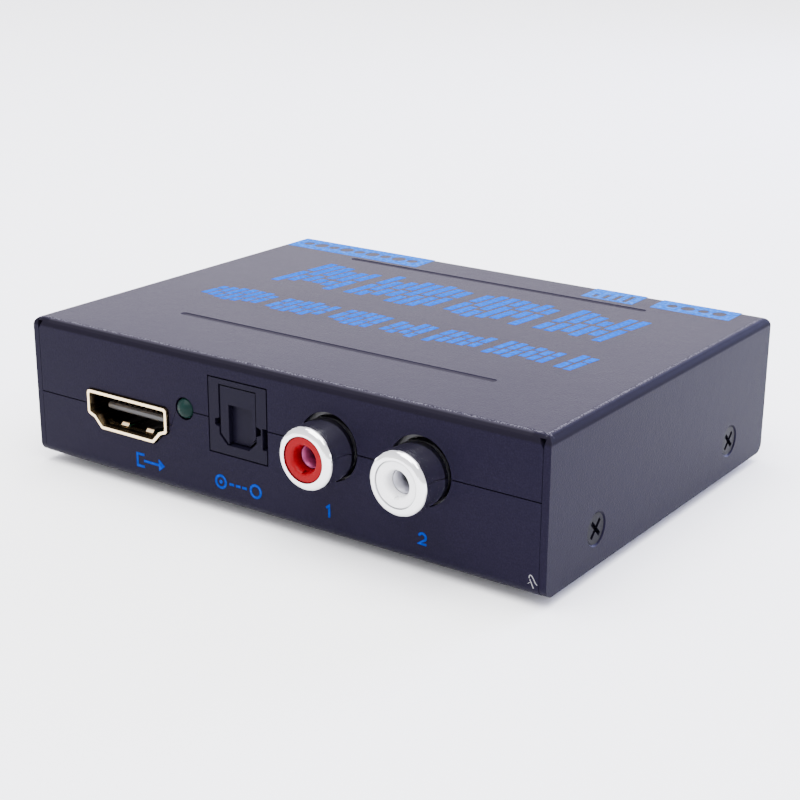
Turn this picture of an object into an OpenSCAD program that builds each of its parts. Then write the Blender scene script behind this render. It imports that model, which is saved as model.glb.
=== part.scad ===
// A small metal-cased audio extractor: a folded cover and tray, a board with its chips,
// a video socket on each panel, an optical socket with a sprung shutter, two phono
// sockets, a barrel power socket and a slide switch.
// Millimetres. +Z is up, +X is to the right and the phono sockets face -Y.
// The origin lies under the middle of the whole, where the feet stand.

/* [Case] */
// Width of the case
case_w = 85; // [85:1:110]
// Depth of the case, panel to panel
case_d = 62; // [62:1:90]
// Height of the case, without its feet
case_h = 20.4; // [20.4:0.2:30]
// Thickness of the folded sheet
sheet = 1; // [0.8:0.1:1.1]
// Inner radius of the bends
bend_r = 0.3; // [0.2:0.05:0.6]
// Gap along the seams between cover and tray
seam_gap = 0.16; // [0.1:0.02:0.24]
// Height of the front seam beside the video socket
seam_low_z = 9.5; // [9:0.1:10]
// Height of the front seam from the lamp to the right edge
seam_high_z = 12.15; // [11.7:0.05:12.4]
// Rounding of the side walls' lower corners
wall_corner_r = 1.4; // [0.8:0.1:2]
// Height of the tray's inner side flanges
flange_h = 9; // [8:0.5:12]
// Width of the stamped grooves in the top
groove_w = 1.2; // [1:0.1:1.6]
// Depth of the stamped grooves
groove_depth = 0.25; // [0.2:0.05:0.45]
// Length of the stamped grooves
groove_len = 52; // [40:1:60]

/* [Case screws] */
// Diameter of the countersunk heads
head_d = 4.1; // [3.9:0.1:4.4]
// Diameter of the screw threads
thread_d = 2.5; // [2:0.1:2.6]
// Length of a case screw
case_screw_len = 4; // [3.4:0.1:4.2]
// Height of the case screws over the underside
case_screw_z = 5.05; // [4.5:0.05:5.5]
// Case screws from the front panel and from the rear panel
case_screw_inset = 11.8; // [10:0.1:14]

/* [Feet] */
// Diameter of a rubber foot
foot_d = 8; // [6:0.5:10]
// Height of a rubber foot
foot_h = 1.5; // [1:0.1:3]
// Foot centres from the case's edges
foot_inset = 12; // [10:0.5:16]

/* [Board] */
// Thickness of the circuit board
board_t = 1.6; // [1.2:0.1:1.6]
// Height of the standoffs under the board
standoff_h = 3.65; // [3.4:0.05:4]
// Diameter of the standoffs
standoff_d = 5; // [4.5:0.1:5.6]
// Gap between the board's edge and the tray's flanges
board_gap = 3; // [2.8:0.1:3.6]

/* [Video sockets] */
// Outer width of the socket shell
video_w = 15; // [14.6:0.1:15.4]
// Outer height of the socket shell
video_h = 5.4; // [5.2:0.1:5.8]
// Length of the socket shell
video_len = 11.6; // [11:0.1:13]
// Sheet thickness of the socket shell
video_t = 0.4; // [0.3:0.05:0.45]
// How far the shell stands out of the panel
video_proud = 0.4; // [0.2:0.05:0.8]
// Centre of the output socket
video_out_x = -24.5; // [-25:0.1:-24]
// Centre of the input socket
video_in_x = 20; // [12:0.5:22]

/* [Optical socket] */
// Width of the socket's face
optical_w = 9.8; // [9.6:0.1:10.2]
// Height of the socket's face
optical_h = 10.3; // [10.2:0.1:10.8]
// Centre of the socket
optical_x = -4.55; // [-5:0.05:-4.2]
// Lower edge of the socket's face over the case's underside
optical_z = 7.4; // [7.2:0.05:7.6]
// Depth of the socket's housing behind the panel
optical_depth = 13.5; // [13:0.1:16]
// Width of the opening
port_w = 6.4; // [6.2:0.1:6.8]
// Height of the opening
port_h = 8.3; // [8:0.1:8.4]

/* [Phono sockets] */
// Outer diameter of a socket's shell
phono_d = 8.3; // [8:0.1:8.6]
// How far the shells reach out of the panel
phono_reach = 5.1; // [4.5:0.1:8]
// Centre distance of the two sockets
phono_pitch = 14; // [13:0.5:16]
// Middle of the pair
phono_x = 17.4; // [17:0.1:18]
// Axis height over the case's underside
phono_z = 11.95; // [11.7:0.05:12.1]
// Diameter of the coloured insulators
insulator_d = 6; // [5.6:0.1:6.4]
// Bore for the plug's centre pin
pin_bore_d = 3.3; // [3.2:0.05:3.6]

/* [Lamp] */
// Diameter of the lamp's lens
lamp_d = 3; // [2.8:0.1:3.1]
// Centre of the lamp
lamp_x = -13.9; // [-14.2:0.1:-13.6]
// Height of the lamp's axis over the case's underside
lamp_z = 12.27; // [12:0.01:12.5]

/* [Power socket] */
// Width of the power socket's housing
power_w = 9; // [8.6:0.1:9.6]
// Height of the power socket's housing
power_h = 10.8; // [10.4:0.1:11.4]
// Depth of the power socket's housing
power_depth = 13; // [12:0.1:15]
// Diameter of the plug opening
power_bore_d = 6.2; // [6:0.1:6.4]
// Diameter of the centre pin
power_pin_d = 2; // [1.9:0.1:2.5]
// Centre of the power socket
power_x = -25; // [-28:0.5:-22]

/* [Slide switch] */
// Width of the switch frame
switch_w = 12.6; // [12:0.1:14]
// Centre of the switch
switch_x = -3; // [-6:0.5:0]
// Travel of the slider to each side
switch_travel = 2; // [1:0.1:2.2]
// How far the slider reaches out of the rear panel
switch_reach = 1.8; // [1:0.1:2.5]

/* [Hidden] */

$fn = 48;
// Overrun of every cut past the face it opens
cut = 0.5;
// Gap between pieces that lie against each other
fit = 0.06;
// Running clearance of a pin in its bore, on the radius
run = 0.04;
// Gap round a socket in its panel cut-out
panel_gap = 0.2;

// Where the case stands in the part's frame: the whole is centred front to back
case_y = (phono_reach - switch_reach - case_d) / 2;
inner_w = case_w - 2 * sheet;
outer_r = sheet + bend_r;
wall_gap = 0.06;
slit_w = 0.07;
relief_h = 1.3;
relief_w = 0.9;
relief_drop = 0.5;
relief_in = 0.25;
tray_half = inner_w / 2 - wall_gap;
seam_jog_x = -16.4;
seam_jog_run = 1.1;
rear_seam_z = seam_low_z;
flange_end_gap = 4;
flange_corner = 3;
groove_front_y = 13.6;
groove_rear_inset = 7.9;
groove_rear_y = case_d - groove_rear_inset;
countersink_extra = 0.1;
head_h = 0.9;
head_sink = 0.15;
head_seat_gap = 0.3;
slot_w = 0.6;
slot_depth = 0.6;
slot_share = 0.72;
slot_turn = 45;
thread_hole_gap = 0.05;
screw_clearance = 0.3;
screw_ys = [case_screw_inset, case_d - case_screw_inset];

foot_chamfer = 0.5;

board_top = sheet + standoff_h + board_t;
board_half = tray_half - sheet - board_gap;
board_edge_gap = 0.6;
board_y0 = sheet + board_edge_gap;
board_y1 = case_d - sheet - board_edge_gap;
board_corner = 1.5;
board_hole_gap = 0.15;
standoff_inset = 3;
standoff_x = board_half - standoff_inset;
standoff_clear = 1;
board_screw_short = 1;
board_screw_head_d = 4.4;
board_screw_head_h = 1.6;

// Half widths and heights of the socket's outline, from its lower edge
video_foot_half = 4.95;
video_shoulder_half = 6.3;
video_shoulder_z = 1.45;
video_side_z = 1.9;
video_corner_r = 0.55;
video_arc_steps = 5;
video_block_y = 6.4;
video_leg_w = 1.2;
video_leg_ys = [2.6, 9.2];
leg_below = 0.7;
finger_w = 1.3;
finger_x = 2.35;
finger_y0 = 1.3;
finger_y1 = 6;
finger_dip = 0.45;
finger_tip = 0.3;
finger_t = 0.25;
finger_slit = 0.25;
tongue_w = 10.6;
tongue_t = 1;
tongue_z = 2.4;
tongue_y0 = 1.5;
tongue_lead = 0.25;
contact_w = 0.4;
contact_t = 0.12;
contact_pitch = 1;
contact_setback = 0.5;
tail_w = 0.25;
tail_reach = 1;
tail_t = 0.15;
tail_notch_h = 0.5;
video_top_count = 10;
video_low_count = 9;

port_floor = 1.3;
port_z0 = optical_z + port_floor;
port_z1 = port_z0 + port_h;
port_chamfer = 1.3;
latch_depth = 0.75;
latch_z0 = 2.1;
latch_h = 1.7;
latch_flat_share = 0.5;
latch_len = 5;
face_slot_w = 0.45;
face_slot_h = 3;
face_slot_z = 1.9;
face_slot_len = 3;
hinge_y = 1.75;
hinge_rise = 0.55;
hinge_z = port_z1 + hinge_rise;
hinge_pin_d = 1;
hinge_hole_gap = 0.01;
barrel_r = 0.75;
lip_t = 0.75;
pocket_gap = 0.15;
pocket_rise = 1.8;
pocket_len = 10.9;
optical_roof = 0.45;
optical_body_top = port_z1 + pocket_rise + optical_roof;
optical_shoulder = 0.3;
optical_body_w = optical_w + 2 * optical_shoulder;
optical_peg_d = 1.6;
optical_peg_y = 6;
shutter_gap = 0.2;
shutter_face = 0.1;
shutter_t = 1.2;
shutter_arm_gap = 0.1;
shutter_dish = 0.8;
shutter_near_w = 1.4;
shutter_far_w = 0.55;
shutter_band_h = 2.4;
shutter_corner = 0.35;
spring_slot_w = 1.7;
spring_slot_r = 1.15;
spring_r = 0.7;
spring_wire = 0.2;
spring_turns = 3;
spring_pitch = 0.34;
spring_leg = 3;
spring_leg_gap = 0.05;
spring_leg_bend = 1.3;
spring_foot = 0.6;
spring_foot_rise = 0.1;
spring_steps = 12;
spring_sides = 6;
emitter_w = 6;
emitter_h = 6;
emitter_len = 3;
emitter_nozzle_d = 2.3;
emitter_nozzle_len = 1.2;
emitter_lead = 0.45;
emitter_lead_pitch = 2;

phono_hole_d = 9.2;
phono_lip = 0.8;
phono_lip_flat = 0.1;
mouth_steps = 8;
phono_neck = 0.25;
phono_wall = (phono_d - insulator_d) / 2 - fit;
phono_flange_d = 9.2;
phono_flange_t = 0.8;
phono_seat_len = 4.5;
phono_len = phono_reach + sheet + phono_seat_len;
insulator_recess = 0.12;
insulator_edge = 0.15;
funnel_w = 0.55;
funnel_len = 1;
pin_bore_len = 7.1;
clip_len = 2.7;
clip_t = 0.3;
clip_h = 2.2;
clip_gap = 0.05;
clip_fit = 0.05;
phono_margin = 6.8;
phono_block_depth = 12;
phono_block_over = 6.4;
phono_block_top = phono_z + phono_block_over;
phono_block_gap = 0.15;
phono_block_y0 = sheet + phono_block_gap;
phono_pin_w = 0.8;
phono_pin_below = 2.4;
phono_pin_side = 4.2;
phono_pin_y0 = 5.4;
phono_pin_step = 4.6;
phono_notch_w = 1.6;
phono_notch_d = 1.2;
phono_step_len = 4;
phono_step_h = 3;
insulator_notch_w = 0.7;
insulator_notch_h = 0.3;

lamp_len = 5.3;
lamp_flange_d = 3.7;
lamp_flange_t = 0.9;
lamp_proud = 0.7;
lead_t = 0.5;
lead_pitch = 1.27;
lead_back = 1.6;
lead_below = 2;

power_rim = 0.8;
power_step_y = 3.6;
power_step_h = 3.2;
power_axis_z = 6.4;
power_cavity = 10.2;
power_pin_tip = 0.9;
power_pin_set = 1.2;
power_contact_w = 2.2;
power_contact_t = 0.3;
power_contact_bow = 0.7;
power_contact_gap = 0.25;
power_face_gap = 0.15;
power_hole_gap = 0.6;
power_leg_w = 1;
power_leg_below = 2.3;

switch_frame_h = 5.4;
switch_frame_len = 3.6;
switch_frame_t = 0.4;
switch_base_t = 1.2;
switch_lug_h = 1.6;
switch_slot_h = 2.6;
knob_w = 3;
knob_gap = 0.2;
switch_axis_h = 3.2;
switch_z = board_top + switch_axis_h;
slider_body_w = 5.6;
slider_body_len = 1.4;
slider_rib_count = 3;
slider_rib = 0.3;
terminal_w = 0.8;
terminal_t = 0.4;
terminal_count = 4;
terminal_pitch = 2.5;
terminal_back = 1.6;
terminal_below = 2;
// The standoffs keep clear of what stands behind both panels
standoff_ys = [phono_block_y0 + phono_block_depth + board_screw_head_d / 2 + standoff_clear,
    case_d - power_depth - 2 * power_pin_set - board_screw_head_d / 2 - standoff_clear];

decoder_w = 14;
decoder_t = 1.2;
chip_lift = 0.15;
decoder_x = 2;
decoder_y = 30;
decoder_leads_per_side = 16;
converter_w = 5.4;
converter_len = 8.6;
converter_x = 22;
converter_y = 22;
converter_leads_per_side = 10;
regulator_w = 6.5;
regulator_len = 3.5;
regulator_x = -26;
regulator_y = 38;
regulator_leads_per_side = 3;
chip_t = 1;
chip_chamfer = 0.2;
chip_mark_r = 0.5;
lead_reach = 1;
gull_t = 0.15;
gull_w_share = 0.45;
crystal_len = 11;
crystal_w = 4.6;
crystal_h = 3.4;
crystal_x = -16;
crystal_y = 28;
crystal_rim = 0.4;
crystal_rim_t = 0.4;
large_can_d = 6.3;
small_can_d = 5;
can_ds = [large_can_d, large_can_d, small_can_d, small_can_d];
can_x_shares = [-0.7, -0.43, 0.43, 0.7];
can_y_shares = [0.47, 0.62, 0.5, 0.5];
can_h = 5.4;
can_base = 0.9;
can_base_corner = 1;
can_bead = 0.25;
chip_part_l = 2;
chip_part_w = 1.25;
chip_part_h = 0.7;
chip_part_pitch = 3.2;
chip_part_rows = 2;
chip_part_cols = 7;
chip_part_x0 = -10;
chip_part_y0 = 42;

// Moves what is drawn in the case's own coordinates to the part's frame
module in_case() {
    translate([0, case_y, foot_h]) children();
}

// Stands what is drawn with its opening on y = 0 behind the rear panel
module at_rear(x) {
    translate([x, case_d, 0]) rotate([0, 0, 180]) children();
}

// Extrudes a profile drawn in x and z along y
module along_y(y0, len) {
    translate([0, y0 + len, 0]) rotate([90, 0, 0]) linear_extrude(len) children();
}

// Extrudes a profile drawn in y and z along x
module along_x(x0, len) {
    translate([x0, 0, 0]) rotate([90, 0, 90]) linear_extrude(len) children();
}

// A cylinder along y
module rod_y(d, y0, len) {
    translate([0, y0 + len, 0]) rotate([90, 0, 0]) cylinder(d = d, h = len);
}

// A cylinder along x
module rod_x(d, x0, len) {
    translate([x0, 0, 0]) rotate([0, 90, 0]) cylinder(d = d, h = len);
}

// A box that is centred across x
module centred_box(w, y0, len, z0, h) {
    translate([-w / 2, y0, z0]) cube([w, len, h]);
}

function unit(v) = v / norm(v);
function left_normal(a, b) = let(d = unit(b - a)) [-d[1], d[0]];

// A closed outline, listed anticlockwise, drawn in by a wall's thickness
function inset(points, depth) = [
    for (i = [0:len(points) - 1])
        let(p = points[i],
            before = left_normal(points[(i + len(points) - 1) % len(points)], p),
            after = left_normal(p, points[(i + 1) % len(points)]))
        p + depth * (before + after) / (1 + before * after)];

// The same outline with its convex corners turned on a radius
function round_corners(points, r, steps) = [
    for (i = [0:len(points) - 1])
        let(p = points[i],
            back = unit(points[(i + len(points) - 1) % len(points)] - p),
            on = unit(points[(i + 1) % len(points)] - p),
            half = acos(back * on) / 2,
            reach = r / tan(half),
            centre = p + unit(back + on) * r / sin(half))
        for (k = [0:steps])
            let(a = p + back * reach, b = p + on * reach,
                turn = k / steps,
                v = (a - centre) * (1 - turn) + (b - centre) * turn)
            centre + unit(v) * r];

// Case outline across its width, with both upper bends
module bent_top_profile(w, h, r) {
    translate([-w / 2, 0]) union() {
        square([w, h - r]);
        translate([r, 0]) square([w - 2 * r, h]);
        for (x = [r, w - r]) translate([x, h - r]) circle(r = r);
    }
}

// The closed space under a folded cover of that width, depth and height
module bent_block(w, d, h, r, y0) {
    intersection() {
        along_y(y0, d) bent_top_profile(w, h, r);
        translate([0, y0 + d / 2, 0]) along_x(-w / 2, w) bent_top_profile(d, h, r);
    }
}

// The region above the front seam, drawn in x and z
module above_front_seam(lift) {
    low = seam_low_z + lift;
    high = seam_high_z + lift;
    edge = case_w;
    polygon([[-edge, low], [seam_jog_x, low], [seam_jog_x + seam_jog_run, high],
        [edge, high], [edge, case_h * 2], [-edge, case_h * 2]]);
}

// The region above the rear seam
module above_rear_seam(lift) {
    translate([-case_w, rear_seam_z + lift]) square([2 * case_w, case_h]);
}

// What every socket needs cut out of the front flaps. The phono holes are centred on the
// seam, so that each flap has half of each hole and the cover lifts straight off
module front_openings() {
    through = sheet + 2 * cut;
    along_y(-cut, through) translate([video_out_x, board_top])
        polygon(video_outline(-panel_gap));
    rod_at(lamp_x, lamp_z, lamp_d + panel_gap, through);
    translate([optical_x, 0, 0])
        centred_box(optical_w + 2 * panel_gap, -cut, through, optical_z - panel_gap, optical_h + 2 * panel_gap);
    for (side = [-1, 1])
        rod_at(phono_x + side * phono_pitch / 2, seam_high_z, phono_hole_d, through);
}

module rod_at(x, z, d, len) {
    translate([x, 0, z]) rod_y(d, -cut, len);
}

// What the rear sockets and the switch need, drawn from the rear panel inwards
module rear_openings() {
    through = sheet + 2 * cut;
    at_rear(video_in_x) along_y(-cut, through) translate([0, board_top])
        polygon(video_outline(-panel_gap));
    at_rear(power_x) translate([0, 0, board_top + power_axis_z])
        rod_y(power_bore_d + 2 * power_hole_gap, -cut, through);
    at_rear(switch_x) centred_box(knob_w + 2 * (switch_travel + knob_gap), -cut, through,
        switch_z - switch_slot_h / 2, switch_slot_h);
}

// A groove's round-ended trough of the given radius
module trough(y, r) {
    axis_z = case_h + groove_axis_rise;
    translate([0, y, axis_z]) {
        rod_x(2 * r, -groove_len / 2, groove_len);
        for (side = [-1, 1]) translate([side * groove_len / 2, 0, 0]) sphere(r = r);
    }
}
// A trough of this radius is as wide as named where it meets the top face
groove_r = (groove_w * groove_w / 4 + groove_depth * groove_depth) / (2 * groove_depth);
groove_axis_rise = groove_r - groove_depth;
groove_back_share = 0.7;

module top_cover() {
    ys = [groove_front_y, groove_rear_y];
    color("dimgray") in_case() difference() {
        union() {
            difference() {
                bent_block(case_w, case_d, case_h, outer_r, 0);
                translate([0, 0, -sheet])
                    bent_block(inner_w, case_d - 2 * sheet, case_h, bend_r, sheet);
                cover_cut_below_seams();
            }
            for (y = ys) intersection() {
                trough(y, groove_r + sheet * groove_back_share);
                bent_block(case_w, case_d, case_h, outer_r, 0);
            }
        }
        for (y = ys) trough(y, groove_r);
        front_openings();
        rear_openings();
        screw_countersinks();
        corner_slits();
        wall_corner_cuts();
    }
}

// Everything under the seams between the two side walls
module cover_cut_below_seams() {
    difference() {
        for (y = [-cut, case_d - sheet])
            translate([-inner_w / 2, y, -cut]) cube([inner_w, sheet + cut, case_h]);
        along_y(-2 * cut, case_d / 2) above_front_seam(0);
        along_y(case_d / 2, case_d) above_rear_seam(0);
    }
}

// The slits between the end flaps and the side walls, each with a V-shaped relief at its bend
module corner_slits() {
    top = case_h - relief_drop;
    for (side = [-1, 1], y = [-cut, case_d - sheet]) {
        translate([side * (inner_w - slit_w) / 2 - slit_w / 2, y, -cut])
            cube([slit_w, sheet + cut, top - relief_h / 2 + cut]);
        translate([side * (inner_w / 2 - relief_in), y, 0]) along_y(0, sheet + cut)
            polygon([[-relief_w / 2, top], [side * (relief_in - slit_w / 2), top - relief_h], [relief_w / 2, top]]);
    }
}

// Rounds the free lower corners of the side walls
module wall_corner_cuts() {
    r = wall_corner_r;
    along_x(-case_w / 2 - cut, case_w + 2 * cut) {
        difference() {
            translate([-cut, -cut]) square(r + cut);
            translate([r, r]) circle(r = r);
        }
        difference() {
            translate([case_d - r, -cut]) square(r + cut);
            translate([case_d - r, r]) circle(r = r);
        }
    }
}

// Conical seats for the four case screws
module screw_countersinks() {
    depth = head_sink + head_h + countersink_extra;
    for (side = [-1, 1], y = screw_ys)
        translate([side * case_w / 2, y, case_screw_z]) rotate([0, -side * 90, 0]) {
            translate([0, 0, -cut]) cylinder(d = thread_d + screw_clearance, h = sheet + 2 * cut);
            screw_cone(head_d + 2 * head_seat_gap, depth);
        }
}

// A countersunk head's cone, with its mouth lying on the sheet's outer face
module screw_cone(d, depth) {
    translate([0, 0, -fit]) cylinder(d1 = d, d2 = thread_d, h = depth);
}

module bottom_tray() {
    color("dimgray") in_case() difference() {
        union() {
            difference() {
                translate([0, 0, case_h]) mirror([0, 0, 1])
                    along_x(-tray_half, 2 * tray_half) translate([case_d / 2, 0])
                    bent_top_profile(case_d, case_h, outer_r);
                translate([0, 0, case_h + sheet]) mirror([0, 0, 1])
                    along_x(-case_w, 2 * case_w) translate([case_d / 2, -sheet])
                    bent_top_profile(case_d - 2 * sheet, case_h + sheet, bend_r);
                along_y(-cut, case_d / 2) above_front_seam(-seam_gap);
                along_y(case_d / 2, case_d) above_rear_seam(-seam_gap);
            }
            for (side = [-1, 1]) side_flange(side);
        }
        front_openings();
        rear_openings();
        for (side = [-1, 1], y = screw_ys)
            translate([side * case_w / 2, y, case_screw_z]) rotate([0, -side * 90, 0])
                cylinder(d = thread_d + thread_hole_gap, h = 2 * sheet + 2 * cut);
    }
}

// An upright flange inside the side wall, which the case screws are tapped into
module side_flange(side) {
    y0 = sheet + flange_end_gap;
    y1 = case_d - sheet - flange_end_gap;
    x = side > 0 ? tray_half - sheet : -tray_half;
    along_x(x, sheet) polygon([[y0, 0], [y1, 0], [y1, flange_h - flange_corner], [y1 - flange_corner, flange_h],
        [y0 + flange_corner, flange_h], [y0, flange_h - flange_corner]]);
}

// A cross recess cut into a screw's head along +Z
module cross_recess(d, depth) {
    for (turn = [0, 90]) rotate([0, 0, slot_turn + turn])
        translate([-d * slot_share / 2, -slot_w / 2, -cut]) cube([d * slot_share, slot_w, depth + cut]);
}

module case_screws() {
    color("darkslategray") in_case()
        for (side = [-1, 1], y = screw_ys)
            translate([side * (case_w / 2 - head_sink), y, case_screw_z]) rotate([0, -side * 90, 0])
            difference() {
                union() {
                    cylinder(d1 = head_d, d2 = thread_d, h = head_h);
                    cylinder(d = thread_d, h = case_screw_len);
                }
                cross_recess(head_d, slot_depth);
            }
}

module rubber_feet() {
    color("black") in_case()
        for (x = [-1, 1] * (case_w / 2 - foot_inset), y = [foot_inset, case_d - foot_inset])
            translate([x, y, -foot_h]) rotate_extrude()
                polygon([[0, 0], [foot_d / 2 - foot_chamfer, 0], [foot_d / 2, foot_chamfer],
                    [foot_d / 2, foot_h], [0, foot_h]]);
}

module board_outline() {
    c = board_corner;
    x = board_half;
    polygon([[-x + c, board_y0], [x - c, board_y0], [x, board_y0 + c], [x, board_y1 - c],
        [x - c, board_y1], [-x + c, board_y1], [-x, board_y1 - c], [-x, board_y0 + c]]);
}

module main_board() {
    color("seagreen") in_case() difference() {
        translate([0, 0, board_top - board_t]) linear_extrude(board_t) board_outline();
        for (x = [-1, 1] * standoff_x, y = standoff_ys)
            translate([x, y, 0]) cylinder(d = thread_d + screw_clearance, h = case_h);
        board_slots();
    }
}

// Holes and slots in the board for every leg that passes through it
module board_slots() {
    g = board_hole_gap;
    translate([video_out_x, 0, 0]) video_legs(g);
    at_rear(video_in_x) video_legs(g);
    for (x = phono_pin_xs, y = phono_pin_ys) pin_through(x, y, phono_pin_w + 2 * g);
    for (side = [-1, 1]) pin_through(lamp_x + side * lead_pitch / 2, lamp_lead_y, lead_t + 2 * g);
    at_rear(power_x) pin_through(0, power_pin_leg_y, power_leg_w + 2 * g);
    at_rear(power_x) centred_box(power_contact_w + 2 * g, power_contact_y - power_contact_t, 2 * power_contact_t,
        sheet + cut, board_top);
    at_rear(switch_x) for (x = terminal_xs) pin_through(x, terminal_y, terminal_w + 2 * g);
    for (i = [-1 : 1])
        pin_through(optical_x + i * emitter_lead_pitch, emitter_lead_y, emitter_lead + 2 * g);
    for (side = [-1, 1])
        translate([optical_x + side * optical_body_w / 4, optical_peg_y, 0])
            cylinder(d = optical_peg_d + 2 * g, h = case_h);
}

module pin_through(x, y, w) {
    translate([x - w / 2, y - w / 2, sheet + cut]) cube([w, w, board_top]);
}

module board_standoffs() {
    color("silver") in_case()
        for (x = [-1, 1] * standoff_x, y = standoff_ys)
            translate([x, y, sheet]) difference() {
                cylinder(d = standoff_d, h = standoff_h);
                translate([0, 0, cut]) cylinder(d = thread_d + thread_hole_gap, h = standoff_h);
            }
}

module board_screws() {
    shank = standoff_h + board_t - board_screw_short;
    color("silver") in_case()
        for (x = [-1, 1] * standoff_x, y = standoff_ys)
            translate([x, y, board_top]) difference() {
                union() {
                    cylinder(d = board_screw_head_d, h = board_screw_head_h);
                    translate([0, 0, -shank]) cylinder(d = thread_d, h = shank);
                }
                translate([0, 0, board_screw_head_h]) mirror([0, 0, 1])
                    cross_recess(board_screw_head_d, slot_depth);
            }
}

// Outline of a video socket's shell over the board, drawn in by depth
function video_outline(depth) = round_corners(inset([
    [-video_foot_half, 0], [video_foot_half, 0], [video_shoulder_half, video_shoulder_z],
    [video_w / 2, video_side_z], [video_w / 2, video_h], [-video_w / 2, video_h],
    [-video_w / 2, video_side_z], [-video_shoulder_half, video_shoulder_z]], depth),
    max(video_corner_r - depth, video_corner_r / 2), video_arc_steps);

// Four legs from the shell's sides through the board
module video_legs(grow) {
    for (side = [-1, 1], y = video_leg_ys)
        translate([side * (video_w / 2 - video_t / 2), y, 0])
            centred_box(video_t + 2 * grow, -grow, video_leg_w + 2 * grow,
                board_top - board_t - leg_below - grow, board_t + leg_below + video_side_z + 2 * grow);
}

// One spring finger's slits and window, cut in the wall at that height
module finger_window(x, z) {
    translate([x, 0, 0])
        centred_box(finger_w + 2 * finger_slit, finger_y0, finger_y1 - finger_y0, z - cut, video_t + 2 * cut);
}

// A spring finger that dips into the socket; way is 1 for the floor and -1 for the roof
module spring_finger(x, z, way) {
    a = z;
    translate([x, 0, 0]) along_x(-finger_w / 2, finger_w)
        polygon([[finger_y1 + finger_slit, a], [finger_y1 + finger_slit, a + way * finger_t],
            [finger_y0 + 2 * finger_tip, a + way * (finger_dip + finger_t)],
            [finger_y0 + finger_slit, a + way * finger_tip],
            [finger_y0 + finger_slit, a + way * (finger_tip - finger_t)],
            [finger_y0 + 2 * finger_tip, a + way * finger_dip]]);
}

module video_shell() {
    back = video_len - video_t;
    difference() {
        union() {
            along_y(-video_proud, video_len + video_proud) translate([0, board_top]) difference() {
                polygon(video_outline(0));
                polygon(video_outline(video_t));
            }
            along_y(back, video_t) translate([0, board_top]) polygon(video_outline(0));
            video_legs(0);
        }
        for (x = [-1, 1] * finger_x) {
            finger_window(x, board_top);
            finger_window(x, board_top + video_h - video_t);
        }
        centred_box(2 * video_foot_half - video_t, back - tail_reach, 2 * tail_reach + video_t,
            board_top - cut, tail_notch_h + cut);
    }
    for (x = [-1, 1] * finger_x) {
        spring_finger(x, board_top + video_t - finger_t, 1);
        spring_finger(x, board_top + video_h - video_t + finger_t, -1);
    }
}

module video_tongue() {
    block_len = video_len - video_t - fit - video_block_y;
    z0 = board_top + tongue_z;
    union() {
        along_y(video_block_y, block_len) translate([0, board_top]) intersection() {
            polygon(video_outline(video_t + fit));
            translate([-video_w, tail_notch_h]) square([2 * video_w, video_h]);
        }
        along_x(-tongue_w / 2, tongue_w)
            polygon([[video_block_y + cut, z0], [video_block_y + cut, z0 + tongue_t],
                [tongue_y0 + tongue_lead, z0 + tongue_t], [tongue_y0, z0 + tongue_t - tongue_lead],
                [tongue_y0, z0 + tongue_lead], [tongue_y0 + tongue_lead, z0]]);
    }
}

// Contacts on both faces of the tongue and the tails behind the shell
module video_contacts() {
    y0 = tongue_y0 + contact_setback;
    len = video_block_y - y0;
    z0 = board_top + tongue_z;
    rows = [[video_top_count, z0 + tongue_t], [video_low_count, z0 - contact_t]];
    for (row = rows, i = [0:row[0] - 1])
        translate([(i - (row[0] - 1) / 2) * contact_pitch, 0, 0])
            centred_box(contact_w, y0, len, row[1], contact_t);
    tails = video_top_count + video_low_count;
    for (i = [0:tails - 1])
        translate([(i - (tails - 1) / 2) * contact_pitch / 2, 0, 0])
            centred_box(tail_w, video_len - tail_reach, 2 * tail_reach, board_top, tail_t);
}

module video_out_shell() {
    color("gold") in_case() translate([video_out_x, 0, 0]) video_shell();
}
module video_out_tongue() {
    color("black") in_case() translate([video_out_x, 0, 0]) video_tongue();
}
module video_out_contacts() {
    color("gold") in_case() translate([video_out_x, 0, 0]) video_contacts();
}
module video_in_shell() {
    color("gold") in_case() at_rear(video_in_x) video_shell();
}
module video_in_tongue() {
    color("black") in_case() at_rear(video_in_x) video_tongue();
}
module video_in_contacts() {
    color("gold") in_case() at_rear(video_in_x) video_contacts();
}

// The optical opening's outline in x and z, drawn in by a gap
module port_profile(gap) {
    w = port_w / 2 - gap;
    c = port_chamfer;
    polygon([[-w + c, port_z0 + gap], [w - c, port_z0 + gap], [w, port_z0 + gap + c], [w, port_z1 - gap],
        [-w, port_z1 - gap], [-w, port_z0 + gap + c]]);
}

module optical_housing() {
    body_z0 = board_top;
    pocket_w = port_w + 2 * pocket_gap;
    color([0.13, 0.13, 0.15]) in_case() translate([optical_x, 0, 0]) difference() {
        union() {
            centred_box(optical_w, 0, sheet + fit + cut, optical_z, optical_h);
            centred_box(optical_body_w, sheet + fit, optical_depth, body_z0, optical_body_top - body_z0);
            for (side = [-1, 1]) translate([side * optical_body_w / 4, optical_peg_y, board_top - board_t])
                cylinder(d = optical_peg_d, h = board_t + cut);
        }
        along_y(-cut, pocket_len + cut) port_profile(0);
        for (side = [-1, 1]) along_y(-cut, latch_len + cut) latch_notch(side);
        translate([(optical_w - face_slot_w) / 2, 0, 0]) centred_box(face_slot_w + cut, -cut,
            face_slot_len + cut, optical_z + face_slot_z, face_slot_h);
        centred_box(pocket_w, lip_t, pocket_len - lip_t, port_z1 - cut, pocket_rise + cut);
        translate([0, hinge_y, hinge_z]) rod_x(hinge_pin_d + 2 * hinge_hole_gap,
            -optical_body_w / 2 - cut, optical_body_w + 2 * cut);
        optical_back_cuts();
    }
}

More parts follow.
